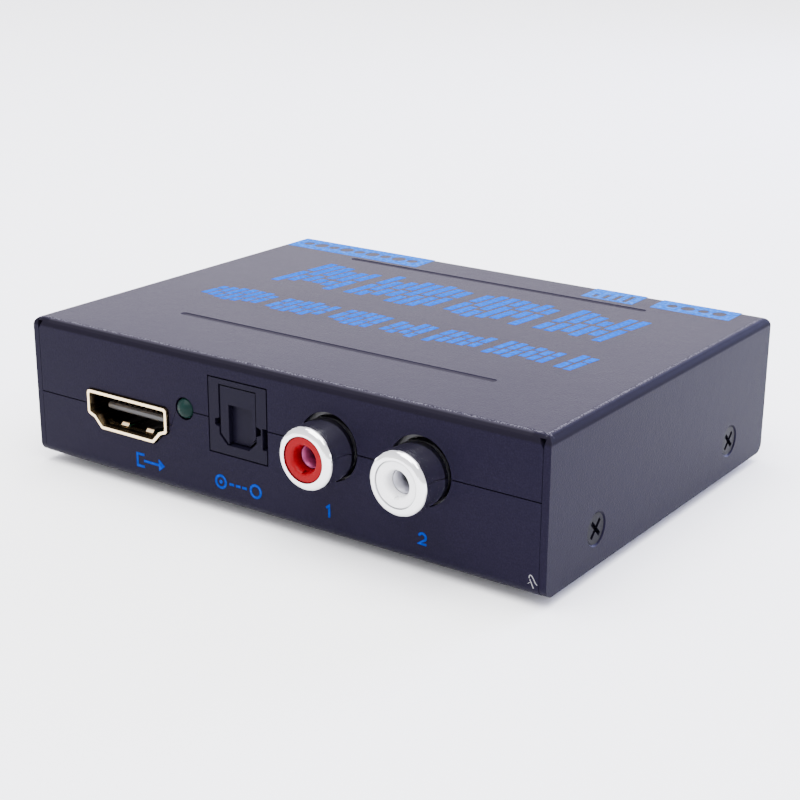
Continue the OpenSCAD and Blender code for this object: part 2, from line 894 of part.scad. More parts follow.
// A notch beside the opening that a plug's latch springs into
module latch_notch(side) {
    flat = latch_h * latch_flat_share / 2;
    translate([side * (port_w / 2 - cut), port_z0 + latch_z0 + latch_h / 2]) polygon([[0, -latch_h / 2],
        [side * (latch_depth + cut), -flat], [side * (latch_depth + cut), flat], [0, latch_h / 2]]);
}

// The seat for the light source in the back of the housing, and its light path
module optical_back_cuts() {
    back = sheet + fit + optical_depth;
    centred_box(emitter_w + 2 * fit, back - emitter_len, emitter_len + cut,
        emitter_z - emitter_h / 2 - fit, emitter_h + 2 * fit);
    translate([0, 0, emitter_z]) rod_y(emitter_nozzle_d + 2 * fit, pocket_len - cut, optical_depth);
}
emitter_z = (port_z0 + port_z1) / 2;
emitter_back = sheet + fit + optical_depth;
emitter_lead_y = emitter_back + emitter_lead;

module optical_emitter() {
    color("dimgray") in_case() translate([optical_x, 0, 0]) {
        union() {
            centred_box(emitter_w, emitter_back - emitter_len + fit, emitter_len,
                emitter_z - emitter_h / 2, emitter_h);
            translate([0, 0, emitter_z])
                rod_y(emitter_nozzle_d, emitter_back - emitter_len - emitter_nozzle_len + fit,
                    emitter_nozzle_len + cut);
            for (i = [-1 : 1]) translate([i * emitter_lead_pitch, 0, 0]) {
                centred_box(emitter_lead, emitter_back + fit - cut, cut + 3 * emitter_lead / 2 - fit,
                    emitter_z - emitter_lead / 2, emitter_lead);
                centred_box(emitter_lead, emitter_lead_y - emitter_lead / 2, emitter_lead,
                    board_top - board_t - leg_below, emitter_z - board_top + board_t + leg_below);
            }
        }
    }
}

module optical_hinge_pin() {
    color("silver") in_case() translate([optical_x, hinge_y, hinge_z])
        rod_x(hinge_pin_d, -optical_body_w / 2, optical_body_w);
}

// The sprung flap that closes the opening: a plate with a dished face, hung from a barrel
// on the pin behind the housing's lip
module optical_shutter() {
    w = port_w - 2 * shutter_gap;
    z0 = port_z0 + shutter_gap;
    z1 = port_z1 - shutter_gap;
    c = port_chamfer;
    far_c = c + shutter_corner;
    arm_y = lip_t + shutter_arm_gap;
    color([0.17, 0.17, 0.2]) in_case() translate([optical_x, 0, 0]) difference() {
        union() {
            translate([0, hinge_y, hinge_z]) rod_x(2 * barrel_r, -w / 2, w);
            along_y(shutter_face, shutter_t) polygon([[-w / 2 + c, z0], [w / 2 - far_c, z0],
                [w / 2, z0 + far_c], [w / 2, z1], [-w / 2, z1], [-w / 2, z0 + c]]);
            centred_box(w, arm_y, shutter_back - arm_y, z1 - cut, hinge_z - z1 + cut);
        }
        translate([-w / 2 + shutter_near_w, shutter_face - cut, z0 - cut])
            cube([w - shutter_near_w - shutter_far_w, shutter_dish + cut, z1 - shutter_band_h - z0 + cut]);
        rod_x_hinge(hinge_pin_d + 2 * run, w + 2 * cut);
        translate([0, hinge_y, hinge_z]) rod_x(2 * spring_slot_r, -spring_slot_w / 2, spring_slot_w);
    }
}
shutter_back = shutter_face + shutter_t;

// A bore along the shutter's hinge axis
module rod_x_hinge(d, len) {
    translate([0, hinge_y, hinge_z]) rod_x(d, -len / 2, len);
}

// One ring of a round wire's section, square to the way it runs
function wire_ring(p, way, r, sides) =
    let(side = unit(cross(way, [1, 0.001, 0.002])), up = unit(cross(side, way)))
    [for (k = [0:sides - 1]) p + r * (cos(360 * k / sides) * side + sin(360 * k / sides) * up)];

// Centre line of the torsion spring: a long leg behind the plate, its turns round the
// pin and a short leg that bears on the back of the panel
function spring_point(a) = [(a / 360 - spring_turns / 2) * spring_pitch, spring_r * cos(a), spring_r * sin(a)];
spring_end = 360 * spring_turns + 90;
spring_leg_y = shutter_back - hinge_y + spring_wire / 2 + spring_leg_gap;
spring_path = concat(
    [for (drop = [spring_leg, spring_leg_bend]) spring_point(0) + [0, spring_leg_y - spring_r, -drop]],
    [for (i = [0:spring_steps * spring_turns + spring_steps / 4]) spring_point(i * 360 / spring_steps)],
    [spring_point(spring_end) + [0, -spring_foot, spring_foot_rise]]);

// A round wire swept along a path
module wire(path, r, sides) {
    last = len(path) - 1;
    rings = [for (i = [0:last])
        wire_ring(path[i], unit(path[min(i + 1, last)] - path[max(i - 1, 0)]), r, sides)];
    points = [for (ring = rings) each ring];
    sides_faces = [for (i = [0:last - 1], k = [0:sides - 1])
        let(a = i * sides + k, b = i * sides + (k + 1) % sides)
        each [[a, b, b + sides], [a, b + sides, a + sides]]];
    near = [for (k = [1:sides - 2]) [0, k + 1, k]];
    far = [for (k = [1:sides - 2]) [last * sides, last * sides + k, last * sides + k + 1]];
    polyhedron(points, concat(sides_faces, near, far));
}

module optical_spring() {
    color("silver") in_case() translate([optical_x, hinge_y, hinge_z])
        wire(spring_path, spring_wire / 2, spring_sides);
}

phono_xs = [phono_x - phono_pitch / 2, phono_x + phono_pitch / 2];
phono_pin_xs = [phono_xs[0] - phono_pin_side, phono_xs[0] + phono_pin_side,
    phono_xs[1] - phono_pin_side, phono_xs[1] + phono_pin_side];
phono_pin_ys = [phono_pin_y0, phono_pin_y0 + phono_pin_step];

// A quarter of an ellipse in steps, from a flat face at w along the first axis to a wall at depth
function mouth(w, depth) = [for (k = [0:mouth_steps])
    let(a = 90 * k / mouth_steps) [w * (1 - sin(a)), depth * (1 - cos(a))]];

// A socket's shell about its axis: a rolled front lip, a polished barrel, and a neck with a
// flange behind the panel
module phono_shell(x) {
    r1 = phono_d / 2;
    r0 = r1 - phono_wall;
    neck = r1 - phono_neck;
    lip = [for (p = mouth(phono_wall - phono_lip_flat, phono_lip)) [r1 - p[0], p[1]]];
    translate([x, -phono_reach, phono_z]) rotate([-90, 0, 0]) rotate_extrude()
        polygon(concat([[r0, 0]], lip, [[r1, phono_reach], [neck, phono_reach],
            [neck, phono_len - phono_flange_t], [phono_flange_d / 2, phono_len - phono_flange_t],
            [phono_flange_d / 2, phono_len], [r0, phono_len]]));
}

// A coloured insulator with a bell-mouthed bore for the plug's centre pin
module phono_insulator(x) {
    r = insulator_d / 2;
    bore = pin_bore_d / 2;
    len = phono_len - insulator_recess;
    bell = [for (p = mouth(funnel_w, funnel_len)) [bore + p[0], p[1]]];
    translate([x, insulator_recess - phono_reach, phono_z]) rotate([-90, 0, 0]) rotate_extrude()
        polygon(concat([[r, insulator_edge], [r, len], [0, len], [0, pin_bore_len], [bore, pin_bore_len]],
            [for (k = [mouth_steps:-1:0]) bell[k]], [[r - insulator_edge, 0]]));
}

module phono_shell_left() {
    color("silver") in_case() phono_shell(phono_xs[0]);
}
module phono_shell_right() {
    color("silver") in_case() phono_shell(phono_xs[1]);
}
module phono_insulator_left() {
    color("crimson") in_case() difference() {
        phono_insulator(phono_xs[0]);
        insulator_notch(phono_xs[0]);
        clip_seat(phono_xs[0]);
    }
}
module phono_insulator_right() {
    color("white") in_case() difference() {
        phono_insulator(phono_xs[1]);
        insulator_notch(phono_xs[1]);
        clip_seat(phono_xs[1]);
    }
}

// The pocket that holds a clip, open towards the bore
module clip_seat(x) {
    inner = pin_bore_d / 2 + clip_gap;
    phono_clip(x, clip_fit);
    translate([x, 0, phono_z]) centred_box(2 * inner, insulator_recess - phono_reach + pin_bore_len - clip_fit,
        clip_len - clip_t, -clip_h / 2 - clip_fit, clip_h + 2 * clip_fit);
}

// A moulding gate's notch in the bore's lower lip
module insulator_notch(x) {
    translate([x, 0, phono_z - pin_bore_d / 2 - insulator_notch_h])
        centred_box(insulator_notch_w, insulator_recess - phono_reach - cut, funnel_len + cut,
            0, insulator_notch_h + funnel_w);
}

// A U-shaped clip behind each bore, whose two leaves grip the plug's centre pin
module phono_clip(x, grow) {
    inner = pin_bore_d / 2 + clip_gap;
    y0 = insulator_recess - phono_reach + pin_bore_len;
    translate([x, 0, phono_z]) {
        for (side = [-1, 1]) translate([side * (inner + clip_t / 2), 0, 0])
            centred_box(clip_t + 2 * grow, y0 - grow, clip_len + 2 * grow, -clip_h / 2 - grow, clip_h + 2 * grow);
        centred_box(2 * inner, y0 + clip_len - clip_t - grow, clip_t + 2 * grow, -clip_h / 2 - grow,
            clip_h + 2 * grow);
    }
}

module phono_contacts() {
    color("gold") in_case() for (x = phono_xs) phono_clip(x, 0);
}

// The moulded block that carries both phono sockets on the board
module phono_block() {
    x0 = phono_xs[0] - phono_margin;
    w = phono_pitch + 2 * phono_margin;
    y0 = phono_block_y0;
    color([0.12, 0.12, 0.13]) in_case() difference() {
        union() {
            translate([x0, y0, board_top]) cube([w, phono_block_depth, phono_block_top - board_top]);
            for (x = phono_pin_xs, y = phono_pin_ys)
                translate([x - phono_pin_w / 2, y - phono_pin_w / 2, board_top - phono_pin_below])
                    cube([phono_pin_w, phono_pin_w, phono_pin_below + cut]);
        }
        for (x = phono_xs) translate([x, 0, phono_z]) {
            rod_y(phono_d + 2 * fit, y0 - cut, phono_len - phono_reach - y0 + cut + fit);
            rod_y(phono_flange_d + 2 * fit, phono_len - phono_reach - phono_flange_t - fit,
                phono_flange_t + 2 * fit);
        }
        // The gap between the sockets and the stepped top at the back
        translate([phono_x - phono_notch_w / 2, y0 - cut, board_top + phono_notch_d])
            cube([phono_notch_w, phono_notch_d + cut, phono_block_top]);
        translate([x0 - cut, y0 + phono_block_depth - phono_step_len, phono_block_top - phono_step_h])
            cube([w + 2 * cut, phono_step_len + cut, phono_step_h + cut]);
    }
}

lamp_lead_y = lamp_len + lead_back - lamp_proud;

module status_led() {
    r = lamp_d / 2;
    color("darkgreen") in_case() translate([lamp_x, -lamp_proud, lamp_z]) rotate([-90, 0, 0]) rotate_extrude()
        union() {
            intersection() {
                translate([0, r]) circle(r = r);
                square([r, r]);
            }
            translate([0, r]) square([r, lamp_len - r]);
            translate([0, lamp_len - lamp_flange_t]) square([lamp_flange_d / 2, lamp_flange_t]);
        }
}

module led_leads() {
    y0 = lamp_len - lamp_proud;
    color("silver") in_case() for (side = [-1, 1]) translate([lamp_x + side * lead_pitch / 2, 0, 0]) union() {
        centred_box(lead_t, y0, lead_back + lead_t / 2, lamp_z - lead_t / 2, lead_t);
        centred_box(lead_t, lamp_lead_y - lead_t / 2, lead_t, board_top - lead_below, lamp_z - board_top + lead_below);
    }
}

power_pin_leg_y = power_depth + 2 * power_pin_set - power_leg_w / 2;
power_contact_y = power_cavity - power_contact_gap - power_contact_t / 2;

// A barrel power socket drawn from its opening inwards
module power_housing() {
    y0 = sheet + power_face_gap;
    z1 = board_top + power_h;
    axis_z = board_top + power_axis_z;
    color([0.1, 0.1, 0.11]) in_case() at_rear(power_x) difference() {
        union() {
            centred_box(power_w, y0, power_step_y, board_top, power_h);
            centred_box(power_w, y0, power_depth, board_top, power_h - power_step_h);
            translate([0, 0, axis_z]) rod_y(power_w - 2 * power_rim, y0, power_depth - power_rim);
            translate([0, 0, axis_z]) rod_y(power_bore_d + power_hole_gap, 0, y0 + cut);
        }
        translate([0, 0, axis_z]) rod_y(power_bore_d, -cut, power_cavity + cut);
        translate([0, 0, axis_z]) rod_y(power_pin_d + 2 * fit, power_cavity - cut, power_depth + cut);
        centred_box(power_contact_w + 2 * power_contact_gap, y0 + power_step_y / 2,
            power_cavity - power_step_y / 2 - y0, board_top - cut,
            axis_z - power_bore_d / 2 - board_top + 2 * cut);
    }
}

module power_pin() {
    r = power_pin_d / 2;
    axis_z = board_top + power_axis_z;
    y1 = power_depth + power_pin_set;
    color("silver") in_case() at_rear(power_x) union() {
        translate([0, power_pin_set, axis_z]) rotate([-90, 0, 0]) rotate_extrude()
            polygon([[0, 0], [r - power_pin_tip / 2, 0], [r, power_pin_tip], [r, y1], [0, y1]]);
        centred_box(power_leg_w, power_pin_leg_y - power_leg_w / 2, power_leg_w,
            board_top - power_leg_below, power_axis_z + power_leg_below);
    }
}

// The bowed contact under the plug, with its leg through the board
module power_contact() {
    z0 = board_top + power_axis_z - power_bore_d / 2;
    t = power_contact_t;
    y0 = sheet + power_face_gap + power_step_y / 2 + power_contact_gap;
    y1 = power_cavity - power_contact_gap;
    mid = (y0 + y1) / 2;
    b = power_contact_bow;
    color("silver") in_case() at_rear(power_x)
        along_x(-power_contact_w / 2, power_contact_w)
            polygon([[y0, z0 - t - b], [mid, z0 - t], [y1 - t, z0 - t - b], [y1 - t, board_top - power_leg_below],
                [y1, board_top - power_leg_below], [y1, z0 - b], [mid, z0], [y0, z0 - b]]);
}

terminal_xs = [for (i = [0:terminal_count - 1]) (i - (terminal_count - 1) / 2) * terminal_pitch];
switch_back = sheet + fit + switch_frame_len;
terminal_y = switch_back + terminal_back;

// The bent metal frame of the slide switch, open at the back
module switch_frame() {
    y0 = sheet + fit;
    z0 = switch_z - switch_frame_h / 2;
    slot = knob_w + 2 * (switch_travel + knob_gap);
    color("silver") in_case() at_rear(switch_x) difference() {
        union() {
            centred_box(switch_w, y0, switch_frame_len, z0, switch_frame_h);
            for (side = [-1, 1]) translate([side * (switch_w / 2 - switch_frame_t / 2), 0, 0])
                centred_box(switch_frame_t, y0 + switch_frame_t, switch_frame_len - switch_frame_t,
                    board_top, switch_z - board_top);
        }
        centred_box(switch_w - 2 * switch_frame_t, y0 + switch_frame_t, switch_frame_len + cut,
            z0 + switch_frame_t, switch_frame_h - 2 * switch_frame_t);
        centred_box(slot, y0 - cut, 2 * cut + switch_frame_t, switch_z - switch_slot_h / 2, switch_slot_h);
    }
}

module switch_base() {
    color("saddlebrown") in_case() at_rear(switch_x) difference() {
        centred_box(switch_w - 2 * switch_frame_t - 2 * fit, switch_back - switch_base_t, switch_base_t,
            switch_z - switch_frame_h / 2 + switch_frame_t + fit, switch_frame_h - 2 * switch_frame_t - 2 * fit);
        for (x = terminal_xs)
            translate([x, 0, 0]) centred_box(terminal_w + 2 * fit, switch_back - switch_base_t - cut,
                switch_base_t + 2 * cut, switch_z - terminal_t / 2 - fit, terminal_t + 2 * fit);
    }
}

// The slider: a body that runs in the frame and a ribbed knob through the slot
module switch_slider() {
    y0 = sheet + fit + switch_frame_t + run;
    h = switch_frame_h - 2 * switch_frame_t - 2 * knob_gap;
    knob_h = switch_slot_h - 2 * knob_gap;
    color([0.15, 0.15, 0.16]) in_case() at_rear(switch_x) difference() {
        union() {
            centred_box(slider_body_w, y0, slider_body_len, switch_z - h / 2, h);
            centred_box(knob_w, -switch_reach, y0 + switch_reach + cut, switch_z - knob_h / 2, knob_h);
        }
        for (i = [0:slider_rib_count])
            translate([(i - slider_rib_count / 2) * knob_w / (slider_rib_count + 1), 0, 0])
                centred_box(slider_rib, -switch_reach - cut, cut + slider_rib, switch_z - knob_h, 2 * knob_h);
    }
}

module switch_terminals() {
    y0 = switch_back - switch_base_t;
    color("silver") in_case() at_rear(switch_x) for (x = terminal_xs) translate([x, 0, 0])
        along_x(-terminal_w / 2, terminal_w) polygon([[y0, switch_z - terminal_t / 2],
            [terminal_y - terminal_t / 2, switch_z - terminal_t / 2],
            [terminal_y - terminal_t / 2, board_top - terminal_below],
            [terminal_y + terminal_t / 2, board_top - terminal_below],
            [terminal_y + terminal_t / 2, switch_z + terminal_t / 2], [y0, switch_z + terminal_t / 2]]);
}

// A moulded chip body with bevelled upper edges and a dimple by its first lead
module chip_body(w, len, t) {
    c = chip_chamfer;
    translate([0, 0, board_top + chip_lift]) difference() {
        intersection() {
            along_y(-len / 2, len) polygon([[-w / 2, 0], [w / 2, 0], [w / 2, t - c], [w / 2 - c, t],
                [-w / 2 + c, t], [-w / 2, t - c]]);
            along_x(-w / 2, w) polygon([[-len / 2, 0], [len / 2, 0], [len / 2, t - c], [len / 2 - c, t],
                [-len / 2 + c, t], [-len / 2, t - c]]);
        }
        translate([-w / 2 + 3 * chip_mark_r, len / 2 - 3 * chip_mark_r, t - c])
            cylinder(r = chip_mark_r, h = t);
    }
}

// A row of gull-wing leads along the +X side of a chip, centred on y
module lead_row(x0, run_len, count, t) {
    pitch = run_len / count;
    w = pitch * gull_w_share;
    z = chip_lift + t / 2;
    for (i = [0:count - 1])
        translate([x0, (i - (count - 1) / 2) * pitch + w / 2, board_top]) rotate([90, 0, 0])
            linear_extrude(w) polygon([[0, z], [lead_reach / 3, z], [lead_reach / 2, gull_t], [lead_reach, gull_t],
                [lead_reach, 0], [lead_reach / 3, 0], [lead_reach / 6, z - gull_t], [0, z - gull_t]]);
}

module decoder_chip() {
    color([0.1, 0.1, 0.1]) in_case() translate([decoder_x, decoder_y, 0])
        chip_body(decoder_w, decoder_w, decoder_t);
}
module converter_chip() {
    color([0.1, 0.1, 0.1]) in_case() translate([converter_x, converter_y, 0])
        chip_body(converter_w, converter_len, chip_t);
}
module regulator_chip() {
    color([0.1, 0.1, 0.1]) in_case() translate([regulator_x, regulator_y, 0])
        chip_body(regulator_len, regulator_w, chip_t);
}

module chip_leads() {
    color("silver") in_case() {
        translate([decoder_x, decoder_y, 0]) for (turn = [0:90:270]) rotate([0, 0, turn])
            lead_row(decoder_w / 2, decoder_w - 1.5 * lead_reach, decoder_leads_per_side, decoder_t);
        translate([converter_x, converter_y, 0]) for (turn = [0, 180]) rotate([0, 0, turn])
            lead_row(converter_w / 2, converter_len - lead_reach / 2, converter_leads_per_side, chip_t);
        translate([regulator_x, regulator_y, 0]) for (turn = [0, 180]) rotate([0, 0, turn])
            lead_row(regulator_len / 2, regulator_w, regulator_leads_per_side, chip_t);
    }
}

// A can with round ends and a rim, drawn as an outline that is extruded
module stadium(len, w) {
    square([len - w, w], center = true);
    for (side = [-1, 1]) translate([side * (len - w) / 2, 0]) circle(d = w);
}
module crystal() {
    color("silver") in_case() translate([crystal_x, crystal_y, board_top]) union() {
        linear_extrude(crystal_rim_t) stadium(crystal_len, crystal_w);
        linear_extrude(crystal_h) stadium(crystal_len - 2 * crystal_rim, crystal_w - 2 * crystal_rim);
    }
}

// Electrolytic capacitors on their moulded bases
module filter_capacitors() {
    color("gainsboro") in_case() for (i = [0:len(can_ds) - 1])
        translate([board_half * can_x_shares[i],
            board_y0 + (board_y1 - board_y0) * can_y_shares[i], board_top]) {
            d = can_ds[i];
            linear_extrude(can_base) difference() {
                square(d + 2 * can_bead, center = true);
                for (side = [-1, 1]) translate([d / 2, side * d / 2]) rotate([0, 0, 45])
                    square(can_base_corner, center = true);
            }
            rotate_extrude() polygon([[0, can_base], [d / 2 - can_bead, can_base],
                [d / 2, can_base + can_bead], [d / 2, can_h - can_bead],
                [d / 2 - can_bead, can_h], [0, can_h]]);
        }
}

// Rows of small chip resistors and capacitors behind the decoder
module small_parts() {
    color("tan") in_case() for (row = [0:chip_part_rows - 1], i = [0:chip_part_cols - 1])
        translate([chip_part_x0 + i * chip_part_pitch, chip_part_y0 + row * chip_part_pitch, board_top])
            centred_box(chip_part_w, -chip_part_l / 2, chip_part_l, 0, chip_part_h);
}

top_cover();
bottom_tray();
case_screws();
rubber_feet();
main_board();
board_standoffs();
board_screws();
video_out_shell();
video_out_tongue();
video_out_contacts();
video_in_shell();
video_in_tongue();
video_in_contacts();
optical_housing();
optical_shutter();
optical_hinge_pin();
optical_spring();
optical_emitter();
phono_shell_left();
phono_shell_right();
phono_insulator_left();
phono_insulator_right();
phono_contacts();
phono_block();
status_led();
led_leads();
power_housing();
power_pin();
power_contact();
switch_frame();
switch_base();
switch_slider();
switch_terminals();
decoder_chip();
converter_chip();
regulator_chip();
chip_leads();
crystal();
filter_capacitors();
small_parts();
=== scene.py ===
# %% [markdown]
# # Dressing a small metal-cased audio extractor
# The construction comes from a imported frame: every piece is already there at its real size,
# in metres, with its moving pieces tied to their joints. This lesson gives each piece its
# finish, adds the print and the small marks that live on the surface, and lights it all.
# The frame is loaded first and measured, because everything that follows is placed by it.

# %% Load the frame
import math
import random

import bmesh
import bpy
from mathutils import Matrix, Vector


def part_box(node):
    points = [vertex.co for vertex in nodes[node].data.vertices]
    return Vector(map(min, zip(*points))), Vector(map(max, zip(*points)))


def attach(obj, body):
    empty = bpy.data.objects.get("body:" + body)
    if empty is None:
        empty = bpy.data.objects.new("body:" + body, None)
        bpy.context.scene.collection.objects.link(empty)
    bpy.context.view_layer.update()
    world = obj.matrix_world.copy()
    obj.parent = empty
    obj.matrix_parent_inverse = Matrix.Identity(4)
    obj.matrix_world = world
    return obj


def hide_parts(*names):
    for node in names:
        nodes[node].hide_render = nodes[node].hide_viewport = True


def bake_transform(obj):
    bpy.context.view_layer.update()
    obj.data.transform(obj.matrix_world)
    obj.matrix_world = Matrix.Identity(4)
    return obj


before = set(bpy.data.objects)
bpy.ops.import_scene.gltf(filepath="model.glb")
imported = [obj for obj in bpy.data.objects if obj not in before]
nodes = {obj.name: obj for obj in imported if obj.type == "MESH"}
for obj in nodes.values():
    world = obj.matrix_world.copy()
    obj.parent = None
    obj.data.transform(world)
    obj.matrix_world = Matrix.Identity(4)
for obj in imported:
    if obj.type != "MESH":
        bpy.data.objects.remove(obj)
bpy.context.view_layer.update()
MM = 0.001

# %% [markdown]
# The case stands on four feet, and the phono sockets face the reader. Named places on the
# case are worked out from the frame's own boxes, so the print and marks follow the metal.

# %% Places on the case
case_low, case_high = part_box("top_cover")
FRONT = case_low.y
REAR = case_high.y
TOP = case_high.z
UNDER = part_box("bottom_tray")[0].z
WIDTH = case_high.x - case_low.x
DEPTH = REAR - FRONT
MIDDLE_X = (case_low.x + case_high.x) / 2
MIDDLE_Y = (FRONT + REAR) / 2
print("case %.1f x %.1f x %.1f mm" % (WIDTH / MM, DEPTH / MM, (TOP - UNDER) / MM))

# %% [markdown]
# ## Camera
# The picture is square. A camera is three things: where it stands, which way it looks and
# how long its lens is. The box's edges in the picture run to two vanishing points, which
# fix all three: a turn of about 35 degrees, a look down of about 19, and a 72 mm lens.

# %% Camera
CAMERA_TURN = math.radians(35.28)
CAMERA_TILT = math.radians(18.78)
CAMERA_ROLL = math.radians(0.33)
CAMERA_LENS = 72.15
CAMERA_NEAR = 10 * MM
CAMERA_FROM_CORNER = Vector((169.24, -148.84, 82.62)) * MM


def add_camera():
    """Makes the camera, placed from the case's lower left corner at the front."""
    data = bpy.data.cameras.new("camera")
    data.lens = CAMERA_LENS
    data.clip_start = CAMERA_NEAR
    camera = bpy.data.objects.new("camera", data)
    bpy.context.scene.collection.objects.link(camera)
    back = Vector((math.sin(CAMERA_TURN) * math.cos(CAMERA_TILT),
                   -math.cos(CAMERA_TURN) * math.cos(CAMERA_TILT),
                   math.sin(CAMERA_TILT)))
    right = (-back).cross(Vector((0, 0, 1))).normalized()
    up = back.cross(right)
    level_right = math.cos(CAMERA_ROLL) * right + math.sin(CAMERA_ROLL) * up
    level_up = math.cos(CAMERA_ROLL) * up - math.sin(CAMERA_ROLL) * right
    turn = Matrix((level_right, level_up, back)).transposed().to_4x4()
    corner = Vector((case_low.x, FRONT, UNDER))
    camera.matrix_world = Matrix.Translation(corner + CAMERA_FROM_CORNER) @ turn
    bpy.context.scene.camera = camera
    return camera


camera = add_camera()
print("camera at", [round(c / MM, 1) for c in camera.location])

# %% [markdown]
# ## Shader maths as plain expressions
# Wiring nodes by hand hides what a material does. A small class wraps a socket, so that
# `1 - wear * 0.5` builds its Math nodes. Colours go through Mix, because a Math node
# would turn them grey. The sky and all the finishes are written with it.

# %% The shader class
class Wire:
    """A socket in a material's node tree that can be written in a sum."""

    def __init__(self, tree, socket):
        self.tree = tree
        self.socket = socket

    def node(self, kind, settings=None, out=0, **values):
        """Adds a node of a kind. Values go to sockets by name, or by place as i0, i1, i2."""
        node = self.tree.nodes.new(kind)
        for key, value in (settings or {}).items():
            if key == "stops":
                set_stops(node.color_ramp, value)
            else:
                setattr(node, key, value)
        for key, value in values.items():
            place = int(key[1:]) if key[1:].isdigit() else key.replace("_", " ")
            plug(self.tree, node.inputs[place], value)
        return Wire(self.tree, node.outputs[out])

    def maths(self, operation, *values):
        """Adds a Math node on one value or more."""
        named = {"i%d" % i: v for i, v in enumerate(values)}
        return self.node("ShaderNodeMath", {"operation": operation}, **named)

    def __add__(self, other):
        return self.maths("ADD", self, other)

    __radd__ = __add__

    def __mul__(self, other):
        return self.maths("MULTIPLY", self, other)

    __rmul__ = __mul__

    def __sub__(self, other):
        return self.maths("SUBTRACT", self, other)

    def __rsub__(self, other):
        return self.maths("SUBTRACT", other, self)

    def part(self, axis):
        """One coordinate of a vector."""
        return self.node("ShaderNodeSeparateXYZ", out="XYZ".index(axis), i0=self)

    def size(self):
        """The value without its sign."""
        return self.maths("ABSOLUTE", self)

    def most(self, other):
        """The larger of two values."""
        return self.maths("MAXIMUM", self, other)

    def between(self, low, high):
        """0 below low, 1 above high, and a smooth step between."""
        return self.node("ShaderNodeMapRange", {"interpolation_type": "SMOOTHSTEP"},
                         i0=self, i1=low, i2=high, i3=0.0, i4=1.0)


def plug(tree, place, value):
    """Links a wire to a socket, or sets a plain value on it."""
    if isinstance(value, Wire):
        tree.links.new(value.socket, place)
    else:
        place.default_value = value


def set_stops(ramp, stops):
    """Gives a new colour ramp these (position, colour) stops."""
    ramp.elements.remove(ramp.elements[1])
    ramp.elements[0].position, ramp.elements[0].color = stops[0]
    for position, colour in stops[1:]:
        ramp.elements.new(position).color = colour


def rgb(red, green, blue):
    """A colour with full alpha."""
    return (red, green, blue, 1.0)


# %% [markdown]
# ## Floor and light
# The photograph is a cut-out on white, lit by a wide, soft studio. The surround is a sky of
# its own: bright low down all round, where the lid looks when it is seen at a low angle, and
# dimmer overhead. A pale floor fills the shadows. Three panels add to it: a wide one above,
# a faintly violet one far behind on the left, whose sheen lies on the lid, and a small
# blue-violet one behind on the right, which makes the right wall brighter towards its rear.

# %% Floor and lights
FLOOR_SIZE = 6.0
FLOOR_COLOUR = rgb(0.95, 0.95, 0.96)
SKY_STOPS = [(0.0, rgb(0.9, 0.9, 0.92)), (0.5, rgb(1.0, 1.0, 1.0)),  # 0.5 is the horizon
             (0.72, rgb(0.95, 0.94, 1.0)), (1.0, rgb(0.7, 0.7, 0.75))]
SKY_STRENGTH = 2.1
PANELS = {  # where it stands, what it faces, its size in metres, its watts and its colour
    "panel_above": ((0.1, -0.2, 1.3), (0, 0, 0), (1.6, 1.6), 75, (1, 1, 1)),
    "panel_back": ((-1.5, 2.2, 0.95), (0, 0, 0), (2.2, 1.2), 45, (0.86, 0.79, 1.0)),
    "panel_right": ((0.22, 0.58, 0.17), (0.04, 0.02, 0.01), (0.3, 0.25), 8, (0.48, 0.52, 1.0))}


def add_floor():
    """A wide pale floor, just under the feet."""
    mesh = bpy.data.meshes.new("floor")
    half = FLOOR_SIZE / 2
    corners = [(-half, -half, 0), (half, -half, 0), (half, half, 0), (-half, half, 0)]
    mesh.from_pydata(corners, [], [(0, 1, 2, 3)])
    floor = bpy.data.objects.new("floor", mesh)
    bpy.context.scene.collection.objects.link(floor)
    paint = bpy.data.materials.new("floor_paint")
    paint.use_nodes = True
    shader = paint.node_tree.nodes["Principled BSDF"]
    shader.inputs["Base Color"].default_value = FLOOR_COLOUR
    shader.inputs["Roughness"].default_value = 0.9
    shader.inputs["Specular IOR Level"].default_value = 0.0
    mesh.materials.append(paint)


def add_panel(name, place, aim, size, power, colour):
    """A soft light panel that faces a point."""
    data = bpy.data.lights.new(name, "AREA")
    data.shape = "RECTANGLE"
    data.size, data.size_y = size
    data.energy = power
    data.color = colour
    panel = bpy.data.objects.new(name, data)
    panel.location = place
    panel.rotation_euler = (Vector(aim) - Vector(place)).to_track_quat("-Z", "Y").to_euler()
    bpy.context.scene.collection.objects.link(panel)


def set_surround():
    """A sky that is bright at the horizon and dims towards the top."""
    world = bpy.data.worlds.new("surround")
    world.use_nodes = True
    tree = world.node_tree
    way = Wire(tree, None).node("ShaderNodeTexCoord")
    level = way.node("ShaderNodeMapRange", i0=way.part("Z"), i1=-1.0, i2=1.0, i3=0.0, i4=1.0)
    back = tree.nodes["Background"]
    plug(tree, back.inputs["Color"], way.node("ShaderNodeValToRGB", {"stops": SKY_STOPS}, i0=level))
    plug(tree, back.inputs["Strength"], SKY_STRENGTH)
    bpy.context.scene.world = world


add_floor()
set_surround()
for name, settings in PANELS.items():
    add_panel(name, *settings)
print("floor, sky and", len(PANELS), "panels")

# %% [markdown]
# Every finish starts the same way: a Principled shader, and the object's own coordinates
# in millimetres, because grain, scratches and moulding texture have real sizes.

# %% Starting a material
OBJECT_PLACE = 3  # the output of Texture Coordinate that gives the object's own coordinates


def scaled(place, factors):
    """Coordinates times a factor along each axis."""
    return place.node("ShaderNodeVectorMath", {"operation": "MULTIPLY"}, i0=place, i1=factors)


